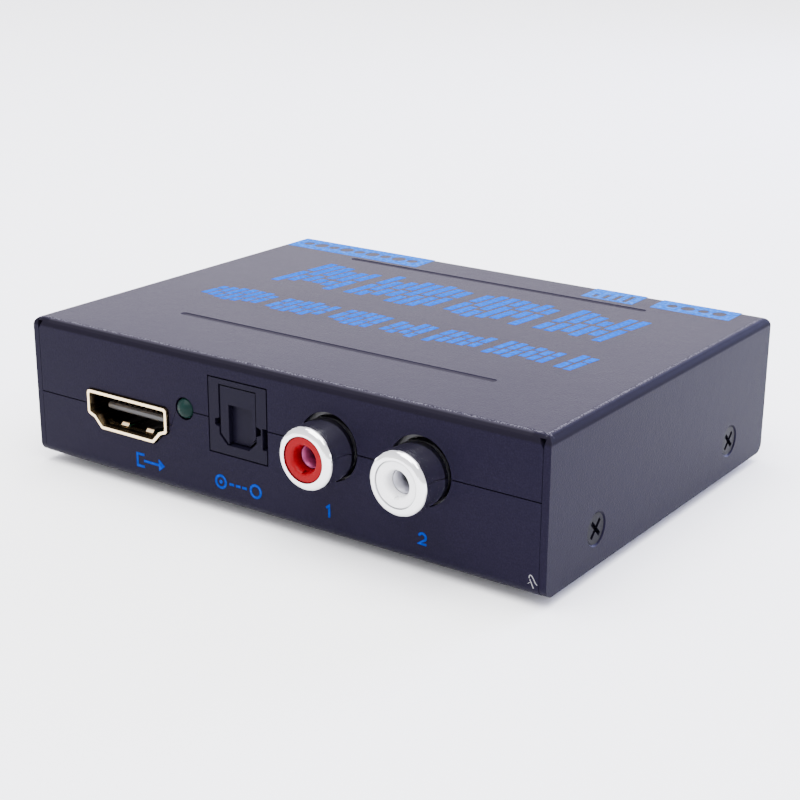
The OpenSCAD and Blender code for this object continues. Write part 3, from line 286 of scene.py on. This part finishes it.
class Finish:
    """A material under construction: its shader and its coordinates in millimetres."""

    def __init__(self, name, colour, roughness, metallic=0.0, **fixed):
        self.material = bpy.data.materials.new(name)
        self.material.use_nodes = True
        self.tree = self.material.node_tree
        self.shader = self.tree.nodes["Principled BSDF"]
        self.set(Base_Color=colour, Roughness=roughness, Metallic=metallic, **fixed)
        metres = Wire(self.tree, None).node("ShaderNodeTexCoord", out=OBJECT_PLACE)
        self.place = scaled(metres, (1 / MM,) * 3)

    def set(self, **values):
        """Sets or links sockets of the shader."""
        for key, value in values.items():
            plug(self.tree, self.shader.inputs[key.replace("_", " ")], value)

    def stretched(self, x, y, z):
        """The coordinates scaled along each axis."""
        return scaled(self.place, (x, y, z))

    def noise(self, per_mm, detail=2.0, place=None):
        """Smooth noise with that many features to the millimetre."""
        return self.place.node("ShaderNodeTexNoise", Vector=place or self.place,
                               Scale=per_mm, Detail=detail)

    def cells(self, per_mm):
        """Distance to the nearest grain, with that many grains to the millimetre."""
        return self.place.node("ShaderNodeTexVoronoi", Vector=self.place, Scale=per_mm)

    def mix(self, amount, first, second):
        """A colour between two colours."""
        return self.place.node("ShaderNodeMix", {"data_type": "RGBA"}, out=2,
                               i0=amount, i6=first, i7=second)

    def blend(self, amount, **fixed):
        """Mixes in a second plain shader by an amount."""
        other = self.tree.nodes.new("ShaderNodeBsdfPrincipled")
        for key, value in fixed.items():
            plug(self.tree, other.inputs[key.replace("_", " ")], value)
        both = self.tree.nodes.new("ShaderNodeMixShader")
        plug(self.tree, both.inputs[0], amount)
        self.tree.links.new(self.shader.outputs[0], both.inputs[1])
        self.tree.links.new(other.outputs[0], both.inputs[2])
        surface = self.tree.nodes["Material Output"].inputs["Surface"]
        self.tree.links.new(both.outputs[0], surface)

    def bump(self, height, depth_mm, strength):
        """Raises the surface by a height of so many millimetres."""
        self.set(Normal=self.place.node("ShaderNodeBump", Height=height,
                                        Distance=depth_mm * MM, Strength=strength))


finishes = {}
for plain in list(bpy.data.materials):  # the frame's own plain colours make room for these
    if plain.name != "floor_paint":
        bpy.data.materials.remove(plain)


def keep(finish):
    """Files a finish under its own name."""
    finishes[finish.material.name] = finish.material
    return finish


def dress(material, *names):
    """Gives CAD nodes a material."""
    for name in names:
        mesh = nodes[name].data
        mesh.materials.clear()
        mesh.materials.append(finishes[material])


# %% [markdown]
# ## Powder-coated steel
# The case is dark blue-grey powder coat. Up close it is a field of tiny soft lumps, a
# quarter of a millimetre across, over a slower orange-peel swell. It could be painted flat
# and left to a rough shader, but the lid's grey sheen at a low angle comes from that grain,
# so it is built as bump.

# %% Powder coat
COAT_DARK = rgb(0.0036, 0.0029, 0.0076)
COAT_LIGHT = rgb(0.0084, 0.0068, 0.0160)
# painted shade: the tone of the dark band along each bend
COAT_FOLD_SHADE = rgb(0.0065, 0.0056, 0.0095)
# painted light: a paler tone that softens the shade in the lid's grooves
COAT_GROOVE_PAINTED_LIGHT = rgb(0.022, 0.020, 0.028)
# painted highlight: the tone of the broken bright line along the bends
COAT_GLINT_PAINT = rgb(0.10, 0.095, 0.12)
COAT_TINT = rgb(0.66, 0.59, 1.0)
GRAINS, LUMPS, SWELLS, DRIFTS = 5.0, 4.5, 0.45, 0.03  # how many to the millimetre
coat = keep(Finish("coated_steel", COAT_DARK, 0.46, IOR=1.14, Specular_Tint=COAT_TINT))
grain = coat.noise(GRAINS, 3.0)
lumps = coat.cells(LUMPS)
swell = coat.noise(SWELLS, 1.0)
drift = coat.noise(DRIFTS, 2.0)
coat.set(Roughness=grain * 0.16 + drift * 0.06 + 0.36)
coat.bump(grain * 0.7 + lumps * 0.4 + swell * 0.5, 0.035, 0.8)

# %% [markdown]
# The folds differ from the flats. Each bend is painted darker and given less sheen, a painted shade
# for the light that its curve turns away. Along its upper start some grains are painted pale as a
# broken bright line, a painted highlight where the bend catches the light. Both follow the bend's
# own place on the case, in its millimetres. The lid's stamped grooves are told from the flats by
# their depth, and are painted a little paler, painted light that softens their own shade.

# %% Folds and grooves
BEND = 1.3  # the outer radius of a fold
DARK_OUT, DARK_UP = (-0.6 * BEND, -0.35 * BEND), (-1.0 * BEND, -0.75 * BEND)
LINE_IN, LINE_OUT = (-1.0 * BEND, -0.8 * BEND), (-0.75 * BEND, -0.55 * BEND)
LINE_UP = (-0.5 * BEND, -0.3 * BEND)
GROOVE_FLOOR, GROOVE_BRIM = (-0.6, -0.5), (-0.15, -0.03)  # heights from the lid
GROOVE_ENDS = (WIDTH / 2 / MM - 3, WIDTH / 2 / MM - 2.5)
from_lid = coat.place.part("Z") - TOP / MM


def bend_masks(axis, middle, half):
    """Where the bend of the walls across an axis gets painted shade, and where its painted
    highlight line runs.
    """
    out = (coat.place.part(axis) - middle).size() - half
    dark = out.between(*DARK_OUT) * from_lid.between(*DARK_UP)
    line = out.between(*LINE_IN) * (1 - out.between(*LINE_OUT)) * from_lid.between(*LINE_UP)
    return dark, line


side_shade, side_glint = bend_masks("X", MIDDLE_X / MM, WIDTH / 2 / MM)
front_shade, front_glint = bend_masks("Y", MIDDLE_Y / MM, DEPTH / 2 / MM)
# painted highlight: a broken bright line of grains along each bend's upper start
painted_glint = side_glint.most(front_glint) * grain.between(0.42, 0.62)
sunk = from_lid.between(*GROOVE_FLOOR) * (1 - from_lid.between(*GROOVE_BRIM))
inside = 1 - coat.place.part("X").size().between(*GROOVE_ENDS)
flats = coat.mix(grain.between(0.35, 0.75) * 0.5 + drift * 0.4, COAT_DARK, COAT_LIGHT)
# painted light: the grooves are painted a little paler than the flats
flats = coat.mix(sunk * inside, flats, COAT_GROOVE_PAINTED_LIGHT)
coat.set(Base_Color=coat.mix(painted_glint * 0.9, flats, COAT_GLINT_PAINT))
# painted shade: each bend is darker and has less sheen
coat.blend(side_shade.most(front_shade) * 0.9, Base_Color=COAT_FOLD_SHADE, Roughness=0.6, IOR=1.06)
dress("coated_steel", "top_cover", "bottom_tray")
print("coated the cover and the tray")

# %% [markdown]
# ## Moulded finishes
# The sockets are small, so each finish keeps only what shows at arm's length: mould grain
# on the black plastic, a faint change of tone in the red and the white, and a dull skin on
# the rubber. Noise is counted in features to the millimetre, and bumps are in millimetres.

# %% Plastics
black = keep(Finish("black_plastic", rgb(0.018, 0.018, 0.02), 0.42))
black.set(Roughness=black.noise(2.5, 2.0) * 0.15 + 0.34)
black.bump(black.noise(9.0, 2.0), 0.01, 0.5)
dress("black_plastic", "phono_block", "video_out_tongue", "video_in_tongue", "power_housing",
      "switch_slider")

dark = keep(Finish("dark_plastic", rgb(0.0038, 0.0032, 0.0078), 0.4,
                   IOR=1.15, Specular_Tint=rgb(0.80, 0.74, 1.0)))
dark.set(Roughness=dark.noise(1.6, 2.0) * 0.14 + 0.32)
dark.bump(dark.noise(12.0, 2.0), 0.006, 0.45)
dress("dark_plastic", "optical_housing", "optical_shutter", "optical_emitter")

red = keep(Finish("red_plastic", rgb(0.11, 0.0001, 0.001), 0.3, IOR=1.16))
red.set(Base_Color=red.mix(red.noise(0.7, 2.0), rgb(0.15, 0.0, 0.002), rgb(0.19, 0.0, 0.004)))
red.bump(red.noise(5.0, 1.0), 0.004, 0.4)
dress("red_plastic", "phono_insulator_left")

white = keep(Finish("white_plastic", rgb(0.86, 0.86, 0.87), 0.3))
white.set(Base_Color=white.mix(white.noise(0.7, 2.0), rgb(0.84, 0.84, 0.86), rgb(0.9, 0.9, 0.9)))
white.bump(white.noise(5.0, 1.0), 0.004, 0.4)
dress("white_plastic", "phono_insulator_right")

rubber = keep(Finish("rubber_black", rgb(0.02, 0.02, 0.02), 0.7))
rubber.set(Roughness=rubber.noise(2.0, 2.0) * 0.2 + 0.6)
rubber.bump(rubber.noise(6.0, 3.0), 0.03, 0.6)
dress("rubber_black", "rubber_feet")

# %% [markdown]
# ## Metal finishes
# Nickel shows fine draw marks and gold a soft warm mottling. The gold keeps its gilt only at the
# video shell's rim and at the tips of its lower fingers, where a painted highlight marks the light
# they catch. The rest is painted dark brown, a painted shade for the dark socket that is all it
# mirrors there.

# %% Metals
RIM_DEPTH = (-0.9, 0.1)  # in millimetres, outward from the panel
TIP_HEIGHT, TIP_DEPTH = 6.8, 1.5  # above the tray's underside, and behind the panel
nickel = keep(Finish("nickel", rgb(0.84, 0.84, 0.85), 0.14, 1.0))
nickel.set(Roughness=nickel.noise(1.5, 3.0, nickel.stretched(1, 0.1, 1)) * 0.12 + 0.08)
nickel.bump(nickel.noise(14.0, 2.0, nickel.stretched(1, 0.15, 1)), 0.002, 0.4)
dress("nickel", "phono_shell_left", "phono_shell_right", "power_pin")

gold = keep(Finish("gold_plate", rgb(1.0, 0.76, 0.42), 0.22, 1.0))
outward = (gold.place.part("Y") - MIDDLE_Y / MM).size() - DEPTH / 2 / MM
gilt = gold.mix(gold.noise(0.9, 3.0), rgb(1.0, 0.72, 0.36), rgb(1.0, 0.84, 0.56))
# painted highlight: the lower fingers' tips keep their gilt
painted_tip_glint = 1 - (gold.place.part("Z") - UNDER / MM - TIP_HEIGHT).size().between(0.12, 0.4)
painted_tip_glint = painted_tip_glint * (1 - (outward + TIP_DEPTH).size().between(0.3, 0.6))
unshaded_gilt = painted_tip_glint.most(outward.between(*RIM_DEPTH))
# painted shade: deeper than the rim and away from the tips, the gold is painted dark brown
gold.set(Base_Color=gold.mix(unshaded_gilt, rgb(0.07, 0.045, 0.03), gilt))
gold.set(Roughness=gold.noise(4.0, 2.0) * 0.16 + 0.14)
gold.bump(gold.noise(8.0, 2.0), 0.003, 0.3)
dress("gold_plate", "video_out_shell", "video_out_contacts", "video_in_shell",
      "video_in_contacts", "phono_contacts")

steel = keep(Finish("plated_steel", rgb(0.6, 0.61, 0.63), 0.28, 1.0))
steel.set(Roughness=steel.noise(2.0, 3.0, steel.stretched(0.2, 1, 1)) * 0.2 + 0.2)
steel.bump(steel.noise(10.0, 2.0), 0.003, 0.4)
dress("plated_steel", "board_standoffs", "board_screws", "optical_hinge_pin",
      "optical_spring", "power_contact", "switch_frame", "crystal")

tin = keep(Finish("tinned", rgb(0.66, 0.67, 0.69), 0.35, 1.0))
tin.set(Roughness=tin.noise(3.0, 2.0) * 0.25 + 0.22)
tin.bump(tin.noise(7.0, 2.0), 0.006, 0.5)
dress("tinned", "led_leads", "switch_terminals", "chip_leads")

blackened = keep(Finish("screw_black", rgb(0.0032, 0.0028, 0.006), 0.4, IOR=1.13))
blackened.set(Roughness=blackened.noise(3.0, 3.0) * 0.2 + 0.3)
blackened.bump(blackened.noise(11.0, 2.0), 0.006, 0.5)
dress("screw_black", "case_screws")

aluminium = keep(Finish("can_aluminium", rgb(0.7, 0.71, 0.73), 0.3, 1.0))
aluminium.set(Roughness=aluminium.noise(2.0, 3.0, aluminium.stretched(1, 1, 0.1)) * 0.2 + 0.2)
dress("can_aluminium", "filter_capacitors")

# %% [markdown]
# ## The board and what it carries
# The closed case hides these, but they are there when a piece is taken off: a woven green
# board, dull chips, brown and tan insulators, and the lamp, which is off.

# %% Board, chips and small parts
board = keep(Finish("board_green", rgb(0.012, 0.10, 0.045), 0.3))
traces = board.noise(0.35, 3.0).between(0.45, 0.55)
board.set(Base_Color=board.mix(traces, rgb(0.010, 0.085, 0.038), rgb(0.02, 0.14, 0.06)))
board.bump(board.noise(2.2, 2.0, board.stretched(1, 4, 1)), 0.01, 0.4)
dress("board_green", "main_board")

epoxy = keep(Finish("chip_black", rgb(0.02, 0.02, 0.021), 0.55))
epoxy.bump(epoxy.noise(14.0, 2.0), 0.01, 0.6)
dress("chip_black", "decoder_chip", "converter_chip", "regulator_chip")

phenolic = keep(Finish("phenolic_brown", rgb(0.22, 0.10, 0.04), 0.5))
phenolic.bump(phenolic.noise(6.0, 2.0), 0.01, 0.4)
dress("phenolic_brown", "switch_base")

ceramic = keep(Finish("ceramic_tan", rgb(0.45, 0.33, 0.2), 0.5))
ceramic.bump(ceramic.noise(8.0, 2.0), 0.01, 0.4)
dress("ceramic_tan", "small_parts")

lamp = keep(Finish("lamp_green", rgb(0.004, 0.013, 0.012), 0.3, IOR=1.14))
lamp.set(Base_Color=lamp.mix(lamp.noise(1.2, 2.0), rgb(0.003, 0.010, 0.009),
                             rgb(0.005, 0.018, 0.016)))
dress("lamp_green", "status_led")
print(len(finishes), "finishes")

# %% [markdown]
# ## Print
# Blue ink lies on the lid and on the front panel. A picture could be projected on the
# metal, but screen print has an edge and a thickness of its own, so each mark here is a
# thin filled outline, a hundredth of a millimetre proud. What the marks say is plain:
# level bars and blocks on the lid, an arrow, rings and the numbers 1 and 2 in front.

# %% Outlines to ink
INK_PROUD = 0.012
INK_SUNK = 0.02
MITRE_LEAST = 0.5  # keeps a ribbon's sharp corners from growing long
RING_TURN, RING_STEPS = 345, 23


def ribbon(points, width):
    """The closed outline of a line of that width drawn through points, in millimetres."""
    left, right = [], []
    last = len(points) - 1
    for i, point in enumerate(points):
        here = Vector(point)
        into = (here - Vector(points[i - 1])).normalized() if i else None
        out_of = (Vector(points[i + 1]) - here).normalized() if i < last else None
        along = ((into or out_of) + (out_of or into)).normalized()
        mitre = max(along.dot(out_of or into), MITRE_LEAST)
        side = Vector((-along.y, along.x)) * width / 2 / mitre
        left.append(here + side)
        right.append(here - side)
    return [tuple(p) for p in left + right[::-1]]


def arc(centre, radius, start, end, steps):
    """Points round a circle, between two angles in degrees."""
    turns = [math.radians(start + (end - start) * i / steps) for i in range(steps + 1)]
    x, y = centre
    return [(x + radius * math.cos(t), y + radius * math.sin(t)) for t in turns]


def ring(centre, radius, width):
    """The two outlines of a ring."""
    return [arc(centre, r, 0, RING_TURN, RING_STEPS)
            for r in (radius + width / 2, radius - width / 2)]


def block(x0, y0, x1, y1):
    """A four-cornered outline."""
    return [(x0, y0), (x1, y0), (x1, y1), (x0, y1)]


def ink_mesh(name, outlines, across, up, origin):
    """Fills the outlines as one thin mesh on the plane that across and up span."""
    curve = bpy.data.curves.new(name, "CURVE")
    curve.dimensions = "2D"
    curve.fill_mode = "BOTH"
    curve.extrude = (INK_PROUD + INK_SUNK) / 2 * MM
    for outline in outlines:
        spline = curve.splines.new("POLY")
        spline.points.add(len(outline) - 1)
        for place, (x, y) in zip(spline.points, outline):
            place.co = (x * MM, y * MM, 0, 1)
        spline.use_cyclic_u = True
    holder = bpy.data.objects.new(name, curve)
    bpy.context.scene.collection.objects.link(holder)
    bpy.context.view_layer.update()
    mesh = bpy.data.meshes.new_from_object(holder)
    bpy.data.objects.remove(holder)
    normal = Vector(across).cross(Vector(up))
    turn = Matrix((Vector(across), Vector(up), normal)).transposed().to_4x4()
    lift = normal * (INK_PROUD - INK_SUNK) / 2 * MM
    mesh.transform(Matrix.Translation(Vector(origin) + lift) @ turn)
    piece = bpy.data.objects.new(name, mesh)
    bpy.context.scene.collection.objects.link(piece)
    return piece


def add_print(name, material, outlines, across, up, origin):
    """Adds ink in a material that rides on the case."""
    piece = ink_mesh(name, outlines, across, up, origin)
    piece.data.materials.append(finishes[material])
    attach(piece, "case")


# %% [markdown]
# The ink is slightly uneven, as screen print on a grained coat is: the coat's lumps show
# through as a fine change of gloss and tone.

# %% Inks
def make_ink(name, dark, light, roughness):
    """A blue ink between two tones."""
    ink = keep(Finish(name, dark, roughness, IOR=1.0))
    ink.set(Base_Color=ink.mix(ink.noise(1.6, 3.0).between(0.35, 0.7), dark, light))
    ink.set(Roughness=ink.noise(3.6, 3.0) * 0.2 + roughness - 0.1)
    ink.bump(ink.noise(3.6, 3.0), 0.03, 0.5)


make_ink("ink_azure", rgb(0.0, 0.055, 0.34), rgb(0.0, 0.085, 0.43), 0.5)
make_ink("ink_front", rgb(0.0008, 0.022, 0.2), rgb(0.0015, 0.034, 0.27), 0.5)
make_ink("ink_pale", rgb(0.006, 0.07, 0.33), rgb(0.03, 0.13, 0.45), 0.55)
print("three inks")

# %% [markdown]
# The lid's two rows are level bars: runs of leaning bars whose height follows a slow wave,
# broken into groups. They are drawn from a seeded list, so every run gives the same print.

# %% Level bars on the lid
LID_ACROSS, LID_UP = (1, 0, 0), (0, 1, 0)
BACK_ROW = {"x0": -28.7, "x1": 30.5, "y0": 36.0, "height": 13.4,
            "pitch": 1.95, "bar": 1.38, "lean": 1.6}
FRONT_ROW = {"x0": -32.4, "x1": 33.5, "y0": 22.8, "height": 7.0,
             "pitch": 1.6, "bar": 1.12, "lean": 0.9}
GROUP_BARS = (4, 8)  # the fewest and the most bars in a group
GROUP_GAP = 0.9  # in pitches
WAVE_TURN = 0.55  # radians of the wave to the millimetre
CUT = 0.03  # half of a cut, as a share of the row's height
draw = random.Random(7)


def level_bars(x0, x1, y0, height, pitch, bar, lean):
    """Leaning bars in groups, each cut once by a narrow gap."""
    outlines = []
    x = x0
    group_left = draw.randint(*GROUP_BARS)
    while x + bar + lean < x1:
        wave = 0.5 + 0.5 * math.sin(x * WAVE_TURN + y0)
        tall = height * (0.7 + 0.3 * wave) * draw.uniform(0.9, 1.0)
        low = y0 + (height - tall) * draw.choice((0.2, 0.5, 0.8))
        split = low + tall * draw.uniform(0.3, 0.7)
        gap = height * CUT
        for a, b in ((low, split - gap), (split + gap, low + tall)):
            near, far = lean * (a - y0) / height, lean * (b - y0) / height
            outlines.append([(x + near, a), (x + bar + near, a),
                             (x + bar + far, b), (x + far, b)])
        x += pitch
        group_left -= 1
        if group_left == 0:
            x += pitch * GROUP_GAP
            group_left = draw.randint(*GROUP_BARS)
    return outlines


lid_origin = (MIDDLE_X, FRONT, TOP)
back_bars = level_bars(**BACK_ROW)
front_bars = level_bars(**FRONT_ROW)
add_print("lid_bars_back", "ink_azure", back_bars, LID_ACROSS, LID_UP, lid_origin)
add_print("lid_bars_front", "ink_azure", front_bars, LID_ACROSS, LID_UP, lid_origin)
print(len(back_bars), "and", len(front_bars), "bars")

# %% [markdown]
# Three paler blocks stand along the lid's rear edge. Each is a solid block with plain
# windows: round dots, or upright slots of rising height.

# %% Blocks along the rear edge
DOT_SIZES = (0.17, 0.22)  # radii in turn, as shares of the block's height
SLOT_HALF = 0.22  # half of a slot, as a share of the step
SLOT_START = 0.6
RISE_FROM, RISE_MORE = 0.3, 0.5  # the slots' heights, as shares of the block's


def dotted_block(x0, y0, x1, y1, count):
    """A block with a row of round windows."""
    step = (x1 - x0) / (count + 1)
    middle = (y0 + y1) / 2
    dots = [arc((x0 + step * (i + 1), middle), (y1 - y0) * DOT_SIZES[i % 2], 0, 340, 17)
            for i in range(count)]
    return [block(x0, y0, x1, y1)] + dots


def slotted_block(x0, y0, x1, y1, count):
    """A block with upright slots of rising height."""
    step = (x1 - x0) / (count + 1)
    slots = []
    for i in range(count):
        middle = x0 + step * (i + 1)
        half = step * SLOT_HALF
        rise = (y1 - y0) * (RISE_FROM + RISE_MORE * (i + 1) / count)
        slots.append(block(middle - half, y0 + SLOT_START, middle + half, y0 + rise))
    return [block(x0, y0, x1, y1)] + slots


rear_blocks = (dotted_block(-41.4, 55.6, -15.0, 61.2, 9)
               + slotted_block(14.8, 56.0, 23.3, 61.2, 4)
               + dotted_block(26.0, 56.4, 38.4, 61.2, 4))
add_print("lid_blocks", "ink_pale", rear_blocks, LID_ACROSS, LID_UP, lid_origin)
print(len(rear_blocks), "outlines in the blocks")

# %% [markdown]
# The front panel's marks are small line drawings: an arrow out of a bracket under the
# video socket, rings under the optical one, and plain numbers under the phono pair.

# %% Marks on the front panel
FRONT_ACROSS, FRONT_UP = (1, 0, 0), (0, 0, 1)
front_origin = (MIDDLE_X, FRONT, UNDER)
LINE = 0.34
HALF = LINE / 2
FIGURE_LINE = LINE * 0.9
FIGURE_TALL = 1.75
BRACKET_END, SHAFT_START, HEAD = 1.5, 1.4, 1.1
DASHES, DASH_FROM, DASH_TO = 3, 0.15, 0.85


def arrow_mark(x0, z0, x1, z1):
    """An arrow that leaves a bracket."""
    middle = (z0 + z1) / 2
    bracket = ribbon([(x0 + BRACKET_END, z1 - HALF), (x0 + HALF, z1 - HALF),
                      (x0 + HALF, z0 + HALF), (x0 + BRACKET_END, z0 + HALF)], LINE)
    start, neck = x0 + SHAFT_START, x1 - HEAD
    arrow = [(start, middle + HALF), (start, middle - HALF), (neck, middle - HALF),
             (neck, z0 + HALF), (x1, middle), (neck, z1 - HALF), (neck, middle + HALF)]
    return [bracket, arrow]


def light_mark(x0, z0, x1, z1):
    """Two rings with a dashed line between them."""
    middle = (z0 + z1) / 2
    radius = (z1 - z0) / 2 - HALF
    left, right = (x0 + radius + HALF, middle), (x1 - radius - HALF, middle)
    marks = ring(left, radius, LINE) + ring(right, radius, LINE)
    marks.append(arc(left, LINE * 0.8, 0, 330, 11))
    start = x0 + 2 * radius + 2 * LINE
    room = x1 - x0 - 4 * radius - 4 * LINE
    for i in range(DASHES):
        marks.append(block(start + room * (i + DASH_FROM) / DASHES, middle - HALF,
                           start + room * (i + DASH_TO) / DASHES, middle + HALF))
    return marks


def number_one(x, z):
    """A plain figure 1."""
    top = z + FIGURE_TALL
    return [ribbon([(x - 0.45, top - 0.5), (x, top - 0.12), (x, z)], FIGURE_LINE)]


def number_two(x, z):
    """A plain figure 2."""
    radius = FIGURE_TALL * 0.29
    bow = arc((x, z + FIGURE_TALL - radius - HALF), radius, 165, -35, 12)
    foot = [(x - radius, z + HALF), (x + radius + 0.1, z + HALF)]
    return [ribbon(bow + foot, FIGURE_LINE)]


front_marks = (arrow_mark(-23.3, 1.95, -18.0, 4.05) + light_mark(-8.8, 2.2, -0.7, 4.25)
               + number_one(10.5, 2.6) + number_two(24.9, 2.5))
add_print("front_marks", "ink_front", front_marks, FRONT_ACROSS, FRONT_UP, front_origin)
print(len(front_marks), "outlines on the front")

# %% [markdown]
# ## Edges
# Sheet and mouldings have no perfect corners. A narrow bevel, a few hundredths of a
# millimetre, catches the light along each edge. It is a modifier, so the construction
# underneath stays exactly as it was packed.

# %% Bevels
BEVELS = {"top_cover": 0.08, "bottom_tray": 0.08, "optical_housing": 0.06,
          "optical_shutter": 0.06, "video_out_shell": 0.05, "video_in_shell": 0.05,
          "power_housing": 0.1, "switch_slider": 0.08, "phono_block": 0.1,
          "case_screws": 0.04, "video_out_tongue": 0.08, "video_in_tongue": 0.08,
          "decoder_chip": 0.05, "main_board": 0.05}  # widths in millimetres
SHARP_ANGLE = math.radians(50)


def round_edges(name, width_mm):
    """Rounds a CAD node's edges, keeping the flat faces flat."""
    rounding = nodes[name].modifiers.new("edge", "BEVEL")
    rounding.width = width_mm * MM
    rounding.segments = 2
    rounding.limit_method = "ANGLE"
    rounding.angle_limit = SHARP_ANGLE
    rounding.use_clamp_overlap = True
    rounding.harden_normals = False


for name, width in BEVELS.items():
    round_edges(name, width)
print("bevelled", len(BEVELS), "nodes")

# %% [markdown]
# ## The spring across the shutter's hinge
# The socket holds the spring's short foot and the shutter carries its long leg. A copy of the
# imported spring stands for it, in plated steel, and the imported one is hidden.

# %% Spring
spring = bpy.data.objects.new("wound_spring", nodes["optical_spring"].data.copy())
bpy.context.scene.collection.objects.link(spring)
spring.data.materials.clear()
spring.data.materials.append(finishes["plated_steel"])
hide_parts("optical_spring")
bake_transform(spring)

# %% [markdown]
# ## Sleeves in the phono bores
# Each insulator carries a split metal sleeve that grips the plug's centre pin. It shows as a grey
# ring deep in the bore, so a thin tube goes in, just inside the plastic. The left sleeve's grey is
# painted red-violet, a painted reflection of the red insulator's light around it.

# %% Sleeves
SLEEVE_RADIUS, SLEEVE_WALL, SLEEVE_LENGTH = 1.6, 0.2, 5.0
SLEEVE_START = -3.4  # from the panel
# the left tone is painted reflected light from the red insulator; the right is the sleeve's own
# grey
SLEEVE_TONES_WITH_RED_BOUNCE = {"left": rgb(0.3, 0.06, 0.15), "right": rgb(0.42, 0.42, 0.46)}
TUBE_STEPS = 40


def add_tube(name, centre, radius, wall, length, material):
    """A thin tube along the case's depth, from a front centre, all in millimetres."""
    mesh = bpy.data.meshes.new(name)
    shape = bmesh.new()
    rows = []
    turns = [math.tau * k / TUBE_STEPS for k in range(TUBE_STEPS)]
    for r, y in ((radius, 0), (radius, length), (radius - wall, length), (radius - wall, 0)):
        around = [Vector(centre) + Vector((r * math.cos(t), y, r * math.sin(t))) for t in turns]
        rows.append([shape.verts.new(place * MM) for place in around])
    for i, first in enumerate(rows):
        second = rows[(i + 1) % len(rows)]
        for k in range(TUBE_STEPS):
            after = (k + 1) % TUBE_STEPS
            shape.faces.new((first[k], first[after], second[after], second[k]))
    bmesh.ops.recalc_face_normals(shape, faces=shape.faces)
    shape.to_mesh(mesh)
    shape.free()
    mesh.polygons.foreach_set("use_smooth", [True] * len(mesh.polygons))
    piece = bpy.data.objects.new(name, mesh)
    bpy.context.scene.collection.objects.link(piece)
    mesh.materials.append(finishes[material])
    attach(piece, "case")


def add_sleeve(side):
    """The sleeve in one phono socket's bore."""
    low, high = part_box("phono_insulator_" + side)
    middle = (low + high) / 2 / MM
    start = (middle.x, FRONT / MM + SLEEVE_START, middle.z)
    add_tube("phono_sleeve_" + side, start, SLEEVE_RADIUS, SLEEVE_WALL, SLEEVE_LENGTH,
             "sleeve_" + side)


for side, tone in SLEEVE_TONES_WITH_RED_BOUNCE.items():
    sleeve = keep(Finish("sleeve_" + side, tone, 0.45, 1.0))
    sleeve.set(Roughness=sleeve.noise(3.0, 2.0, sleeve.stretched(1, 0.1, 1)) * 0.2 + 0.36)
    sleeve.bump(sleeve.noise(9.0, 2.0), 0.003, 0.4)
    add_sleeve(side)
print("sleeves in the", " and ".join(SLEEVE_TONES_WITH_RED_BOUNCE), "bores")

# %% [markdown]
# One knock at the panel's lower right corner has scored the coat: small hooked scores of
# bare steel, drawn like the print but in metal.

# %% A chip in the coat
bare = keep(Finish("bare_metal", rgb(0.22, 0.22, 0.23), 0.38, 0.8))
bare.set(Roughness=bare.noise(6.0, 3.0) * 0.3 + 0.25)
bare.bump(bare.noise(8.0, 3.0), 0.02, 0.6)
HOOK = [(40.15, 2.3), (40.15, 2.54), (40.28, 2.73), (40.47, 2.7), (40.73, 2.35),
        (41.01, 1.87), (41.25, 1.66)]
STROKE = [(40.27, 2.2), (40.3, 2.05), (40.45, 1.8), (40.6, 1.48), (40.78, 1.12)]
NICK = [(40.3, 1.82), (39.99, 1.57)]
scores = [ribbon(HOOK, 0.11), ribbon(STROKE, 0.12), ribbon(NICK, 0.07)]
add_print("coat_chip", "bare_metal", scores, FRONT_ACROSS, FRONT_UP, front_origin)
print("a chip of", len(scores), "scores")
